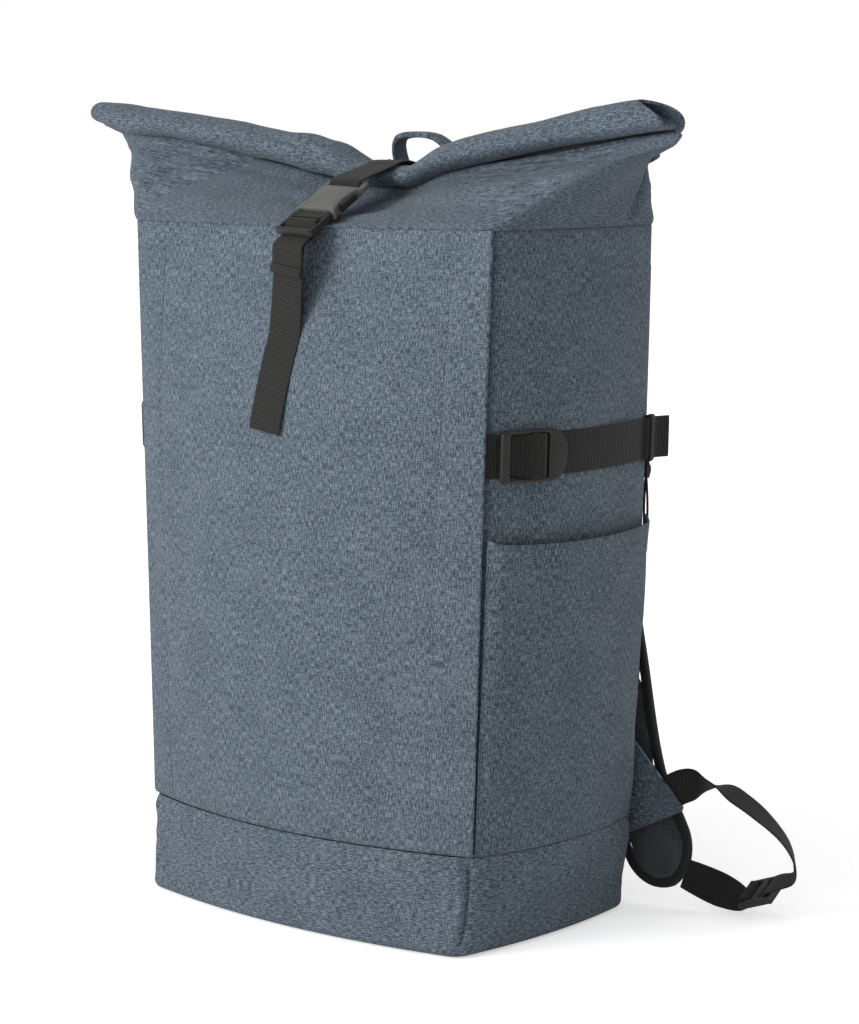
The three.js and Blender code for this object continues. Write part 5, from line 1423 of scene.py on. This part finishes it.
def inflate(obj, foam):
    """Cloth under pressure: remeshed, blown for 20 frames, with each point's travel capped."""
    remesh = obj.modifiers.new("voxels", "REMESH")
    remesh.mode = "VOXEL"
    remesh.voxel_size = foam["voxel"] * MM
    graph = bpy.context.evaluated_depsgraph_get()
    mesh = bpy.data.meshes.new_from_object(obj.evaluated_get(graph))
    obj.modifiers.clear()
    obj.data = mesh
    before = get_points(mesh)
    cloth = obj.modifiers.new("cloth", "CLOTH")
    cloth.settings.quality = 5
    cloth.settings.use_pressure = True
    cloth.settings.uniform_pressure_force = foam["pressure"]
    cloth.settings.effector_weights.gravity = 0
    scene = bpy.context.scene
    for number in range(1, 21):
        scene.frame_set(number)
    graph = bpy.context.evaluated_depsgraph_get()
    blown = bpy.data.meshes.new_from_object(obj.evaluated_get(graph))
    obj.modifiers.clear()
    travel = get_points(blown) - before
    far = np.linalg.norm(travel, axis=1, keepdims=True)
    travel *= np.minimum(1, foam["travel"] * MM / np.maximum(far, 1e-9))
    set_points(mesh, before + travel)
    mesh.shade_smooth()
    bpy.data.meshes.remove(blown)
    scene.frame_set(1)
    fine = obj.modifiers.new("smoother", "SUBSURF")
    fine.levels = fine.render_levels = 1
    return obj


def pad_body(name, at, half, across, normal, thickness, edge):
    """Closed lens-like pad: the profile's height falls from the middle to the edge."""
    turn = np.linspace(0, TAU, 40, endpoint=False)
    x = np.sign(np.cos(turn)) * np.abs(np.cos(turn)) ** 0.6
    rise = (edge + (thickness - edge) * np.maximum(0, 1 - np.abs(x) ** 3)) / 2
    y = np.sign(np.sin(turn)) * np.abs(np.sin(turn)) ** 0.5 * rise
    points = (at[:, None] + across[:, None] * (half[:, None] * x[None])[..., None]
              + normal[:, None] * y[None, :, None])
    return outward(new_mesh(name, points, tube_faces(*points.shape[:2])))


def shoulder_pad():
    """Padded strap blown up a little in its cloth, with a bound edge round its outline."""
    at, half = pad_stations()
    across, normal = pad_axes(at)
    obj = pad_body("strap_pad_right", at, np.maximum(half - 2.0, 0.6), across, normal,
                   PAD["thickness"] - 2.4, PAD["edge"] - 1.6)
    inflate(obj, FOAM["strap"])
    twin = both_sides(obj, mesh_cloth, "padding", "shoulder_pad_right")
    inset = across * np.maximum(half - 3.2, 0)[:, None]
    loop = np.concatenate([at + inset, (at - inset)[::-1][1:]])
    out = np.concatenate([normal, normal[::-1][1:]])
    keep = np.concatenate([[True], np.linalg.norm(np.diff(loop, axis=0), axis=1) > 0.3])
    loop, out = loop[keep], out[keep]
    sideways = np.cross(out, unit(np.gradient(loop, axis=0)))
    section = rounded_bar(PAD["binding"], PAD["edge"] + 0.6, 2.2, 4)
    points, faces, uv = carried(loop, sideways, section, None, out)
    both_sides(outward(new_mesh("strap_binding_right", points, faces, uv)), binding_cloth, "webbing")


def back_pad():
    """Back pad: a rounded slab blown up a little, then pressed in along its sewn channels."""
    middle = (BACK_PAD["bottom"] + BACK_PAD["top"]) / 2
    tall = (BACK_PAD["top"] - BACK_PAD["bottom"]) / 2
    wide = BACK_PAD["half"]
    u, v = np.meshgrid(np.linspace(-1, 1, 64), np.linspace(-1, 1, 90))
    corner = BACK_PAD["corner"]
    squeeze = np.maximum(0, np.abs(v) * tall - (tall - corner)) / corner
    x = u * (wide - corner * (1 - np.sqrt(np.maximum(0, 1 - squeeze ** 2))))
    z = middle + v * tall
    edge = np.minimum(1 - np.abs(u), 1 - np.abs(v))
    full = (BACK_PAD["thickness"] - 2.6) * (0.45 + 0.55 * smooth(0, 0.12, edge))
    outer = back_point(x, z, CLEARANCE + full)
    inner = back_point(x, z, CLEARANCE + 0.2)
    rows, columns = u.shape
    faces_out = grid_faces(rows, columns)
    faces_in = grid_faces(rows, columns, start=rows * columns)[:, ::-1]
    index = np.arange(rows * columns).reshape(rows, columns)
    border = np.concatenate([index[0, :-1], index[:-1, -1], index[-1, :0:-1], index[:0:-1, 0]])
    ahead = np.roll(border, -1)
    sides = np.stack([border, border + rows * columns, ahead + rows * columns, ahead], -1)
    faces = np.concatenate([faces_out, faces_in, sides]).tolist()
    both = np.concatenate([outer.reshape(-1, 3), inner.reshape(-1, 3)])
    obj = outward(new_mesh("back_pad_mesh", both, faces))
    inflate(obj, FOAM["back"])
    p = get_points(obj.data) / MM
    base = back_point(p[:, 0], p[:, 2], 0.0)[:, 1]
    proud = p[:, 1] - base
    to_channel = np.minimum.reduce([np.abs(p[:, 0]), np.abs(p[:, 2] - CHANNEL["low"]),
                                    np.abs(p[:, 2] - CHANNEL["high"])])
    groove = 1 - CHANNEL["depth"] * hill(to_channel, CHANNEL["width"])
    outside = np.minimum(proud, BACK_PAD["thickness"] + 0.8) * groove
    p[:, 1] = base + np.where(proud > 2.5, outside, np.maximum(proud, CLEARANCE))
    set_points(obj.data, p * MM)
    dressed(obj, mesh_cloth, "padding", "back_pad")
    turn = outline_box(-wide + 1, wide - 1, BACK_PAD["bottom"] + 1, BACK_PAD["top"] - 1,
                       [(corner, corner)] * 4, 14)
    straight = []
    for a, b in zip(turn, np.roll(turn, -1, 0)):
        steps = max(int(np.linalg.norm(b - a) / 8), 1)
        straight.append(a + (b - a) * (np.arange(steps) / steps)[:, None])
    path = np.concatenate(straight)
    path = np.concatenate([path, path[:1]])
    loop = back_point(path[:, 0], path[:, 1], 2.6)
    out = np.broadcast_to(np.array([0, 1.0, 0]), loop.shape)
    sideways = np.cross(out, unit(np.gradient(loop, axis=0)))
    section = rounded_bar(BACK_PAD["binding"], 5.0, 2.0, 4)
    points, faces, uv = carried(loop, sideways, section, None, out)
    dressed(outward(new_mesh("back_binding", points, faces, uv)), binding_cloth, "webbing")


def shoulder_yoke():
    """Cloth band over the straps' upper ends, its long edges turned under."""
    x = np.linspace(-YOKE["half"], YOKE["half"], 90)[None]
    v = np.linspace(-1, 1, 24)[:, None]
    z = YOKE["centre"] + v * YOKE["height"] / 2
    start = BACK_PAD["thickness"] + 2 * CLEARANCE + YOKE["thickness"]
    soft = 0.5 * crumple(x / 30, z / 18, seed=71) - 0.5 * hill(np.abs(v) - 0.8, 0.06)
    points = back_point(*np.broadcast_arrays(x, z), start + soft)
    obj = cloth_sheet("yoke_cloth", points, YOKE["thickness"] - 0.4, bevel=1.0)
    return dressed(obj, band_cloth, "cloth", "shoulder_yoke")


def wing_tab():
    """Triangular tab: rows from its root to its tip, between a lower and an upper edge, a little puffed."""
    low = skin(4.0, WING["root_bottom"], -CLEARANCE)
    high = skin(4.0, WING["root_top"], -CLEARANCE)
    upward = unit((high - low) * np.array([0, 1, 1]))
    rearward = np.cross(upward, RIGHT)
    rise = WING["root_top"] - WING["root_bottom"]
    tip = np.array([WING["tip_x"] - low[0] - 1.5, WING["tip"] - WING["root_bottom"]])
    t = np.linspace(0, 1, 40)
    shoulder = WING["root_x"] - low[0] + 8
    lower_edge = np.stack([t * (tip[0] - 0.5), t * (tip[1] - 1.5)], -1)
    upper_edge = np.stack([np.interp(t, [0, 1 / 6, 1], [0, shoulder, tip[0] + 0.5]),
                           np.interp(t, [0, 1 / 6, 1], [rise, rise, tip[1] + 1.5])], -1)
    s = np.linspace(0, 1, 40)
    flat = mix(lower_edge[:, None], upper_edge[:, None], s[None, :, None])
    puff = 0.7 * arch(s)[None] * arch(t)[:, None] + 0.3 * crumple(t[:, None] * 4, s[None] * 3, seed=81)
    height = WING["thickness"] + 0.5 * puff
    points = low + flat[..., :1] * RIGHT + flat[..., 1:] * upward + rearward * height[..., None]
    obj = cloth_sheet("wing_cloth_right", points, WING["thickness"] - 0.3, bevel=0.6,
                      outside=low - np.array([0, 60, 0]))
    both_sides(obj, panel_cloth, "cloth", "wing_tab_right")


lock_along = unit(LOCK_DIRECTION)
lock_across = unit(LOCK_ACROSS - lock_along * (LOCK_ACROSS @ lock_along))
lock_normal = np.cross(lock_along, lock_across)
LOCK_BAR = LOCK["length"] / 2 - LOCK["bar"] / 2


def on_lock(along, out):
    """Place in the middle of the ladder lock's width, along it and out from its mid-plane."""
    return LOCK_CENTRE + lock_along * along + lock_normal * out


def ladder_lock():
    """Ladder lock: a frame with two windows and a ridged middle plate."""
    half, inside, end = LOCK["width"] / 2, WEBBING["shoulder"] / 2 + CLEARANCE, LOCK["length"] / 2
    outer = outline_box(-end, end, -half, half, [(3, 3)] * 4)
    inner = outline_box(-end + LOCK["bar"], end - LOCK["bar"], -inside, inside, [(1.2, 1.2)] * 4)
    frame_shell = ring_plate(outer, inner, LOCK["thickness"], 1.2)
    shells = [placed_shell(frame_shell, LOCK_CENTRE, lock_along, lock_across, lock_normal)]
    wide = LOCK["length"] - 2 * LOCK["bar"] - 2 * LOCK["window"]
    reach = lock_across * (inside + 0.4)
    shells.append(bar_shell(LOCK_CENTRE - reach, LOCK_CENTRE + reach, lock_along, wide,
                            LOCK["thickness"], 1.3))
    reach = lock_across * inside
    for step in (-0.25, 0.25):
        at = on_lock(wide * step, LOCK["thickness"] / 2)
        shells.append(bar_shell(at - reach, at + reach, lock_along, 0.8, 0.7, 0.3))
    obj = creased(outward(joined("lock_right", shells)), 45)
    both_sides(obj, plastic, "plastic", "ladder_lock_right")


def shoulder_webbing():
    """Long webbing from behind the wing out, down and back to the ladder lock's far bar."""
    radius = wrap_radius(LOCK["bar"], LOCK["thickness"])
    round_bar = wrap(on_lock(LOCK_BAR, 0), -lock_along, lock_normal, radius)[::-1]
    approach = on_lock(LOCK_BAR + radius, radius + CLEARANCE)
    stations = [*WEBBING_ROUTE, *same_across([approach, *round_bar], lock_across)]
    obj = webbing_band("long_webbing_right", stations, WEBBING["shoulder"])
    both_sides(obj, strap_cloth, "webbing", "shoulder_webbing_right")


def lower_webbing():
    """Short webbing from the pad's round end to the ladder lock's near bar."""
    at, half = pad_stations()
    last = PAD["rows"] - 1
    centre, radius = at[last], half[last]
    start = centre + np.array([0.8, 0, -0.6]) * (radius + 3.5 * CLEARANCE)
    wrapped = wrap_radius(LOCK["bar"], LOCK["thickness"])
    approach = on_lock(-LOCK_BAR - wrapped, -wrapped - CLEARANCE)
    round_bar = wrap(on_lock(-LOCK_BAR, 0), lock_along, lock_normal, wrapped)
    stations = [
        {"at": start, "across": (0.6, 0, 0.8)},
        {"at": mix(start, approach, 0.4), "across": (0.42, 0.35, 0.84)},
        {"at": mix(start, approach, 0.75), "across": (0.1, 0.75, 0.6)},
        *same_across([approach, *round_bar], lock_across),
    ]
    obj = webbing_band("short_webbing_right", stations, WEBBING["shoulder"])
    both_sides(obj, strap_cloth, "webbing", "lower_webbing_right")


shoulder_pad()
back_pad()
shoulder_yoke()
wing_tab()
ladder_lock()
shoulder_webbing()
lower_webbing()


# Stitching
def front_row(x, z):
    """Line on the front surface, 0.15 mm proud, with its way out."""
    points = front_surface(x, z) + np.array([0, -0.15, 0])
    return points, np.broadcast_to(np.array([0, -1.0, 0]), points.shape)


def sewing():
    """Topstitching beside the front panel's hems and under the pockets' hems."""
    z = np.linspace(BODY["band"] + 3, BODY["seam"] - 3, 160)
    rows = [front_row(side * (panel_edge(z) - PANEL["hem"]), z) for side in (-1, 1)]
    stitch_rows("front_stitching", rows, thread_finish, "cloth", SEWING["front"])
    across = np.linspace(0.02, 0.98, 120)
    points = pocket_point(across, np.full(120, SEWING["pocket_level"]), 0.35)
    row = (points, points * np.array([1, 0.3, 0]))
    obj = stitch_rows("pocket_stitching_right", [row], thread_finish, "cloth", SEWING["pocket"])
    dressed(mirror_image(obj, "pocket_stitching_left"), thread_finish, "cloth")


sewing()


# Studio
def floor_finish():
    """Pale paper that glows only to the camera, more so far away, so that it ends in the backdrop."""
    paper = bpy.data.materials.new("pale_floor")
    paper.use_nodes = True
    nodes, links = paper.node_tree.nodes, paper.node_tree.links
    shader = nodes["Principled BSDF"]
    shader.inputs["Base Color"].default_value = (0.92, 0.92, 0.92, 1)
    shader.inputs["Roughness"].default_value = 0.9
    shader.inputs["Emission Color"].default_value = (1, 1, 1, 1)
    away = nodes.new("ShaderNodeVectorMath")
    away.operation = "LENGTH"
    links.new(nodes.new("ShaderNodeNewGeometry").outputs["Position"], away.inputs[0])
    glow = nodes.new("ShaderNodeMapRange")
    glow.inputs["From Min"].default_value = FLOOR["near"]
    glow.inputs["From Max"].default_value = FLOOR["far"]
    glow.inputs["To Min"].default_value = FLOOR["near_glow"]
    glow.inputs["To Max"].default_value = FLOOR["far_glow"]
    links.new(away.outputs["Value"], glow.inputs["Value"])
    seen = nodes.new("ShaderNodeMath")
    seen.operation = "MULTIPLY"
    links.new(glow.outputs["Result"], seen.inputs[0])
    links.new(nodes.new("ShaderNodeLightPath").outputs["Is Camera Ray"], seen.inputs[1])
    links.new(seen.outputs[0], shader.inputs["Emission Strength"])
    return paper


def aimed(holder, at, target):
    """Puts a lamp or camera at a place, turned towards a target."""
    holder.location = at
    holder.rotation_euler = (Vector(target) - holder.location).to_track_quat("-Z", "Y").to_euler()
    bpy.context.scene.collection.objects.link(holder)
    return holder


def studio():
    """Pale floor, soft lights and the camera at the photograph's angle."""
    floor = bpy.data.meshes.new("floor")
    half = FLOOR["half"]
    corners = [(-half, -half), (half, -half), (half, half), (-half, half)]
    corners = [(*corner, -FLOOR["drop"]) for corner in corners]
    floor.from_pydata(corners, [], [(0, 1, 2, 3)])
    ground = bpy.data.objects.new("floor", floor)
    bpy.context.scene.collection.objects.link(ground)
    floor.materials.append(floor_finish())
    world = bpy.data.worlds.new("studio")
    bpy.context.scene.world = world
    world.use_nodes = True
    nodes, links = world.node_tree.nodes, world.node_tree.links
    nodes["Background"].inputs["Color"].default_value = (1.0, 1.0, 1.0, 1)
    level = nodes.new("ShaderNodeMapRange")
    level.inputs["To Min"].default_value = SKY["light"]
    level.inputs["To Max"].default_value = SKY["seen"]
    links.new(nodes.new("ShaderNodeLightPath").outputs["Is Camera Ray"], level.inputs["Value"])
    links.new(level.outputs["Result"], nodes["Background"].inputs["Strength"])
    for row in LAMPS:
        lamp = bpy.data.lights.new(row["name"], "AREA")
        lamp.size = row["size"]
        lamp.energy = row["energy"]
        angle = math.radians(row["azimuth"])
        across, back = math.sin(angle) * row["distance"], -math.cos(angle) * row["distance"]
        aimed(bpy.data.objects.new(row["name"], lamp), (across, back, row["height"]), (0.0, 0.0, 0.28))
    lens = bpy.data.cameras.new("camera")
    lens.sensor_width = CAMERA["sensor"]
    lens.lens = CAMERA["lens"]
    lens.clip_end = 100
    bpy.context.scene.camera = aimed(bpy.data.objects.new("camera", lens), CAMERA["at"], CAMERA["aim"])
    bpy.context.scene.view_settings.view_transform = "Standard"


studio()
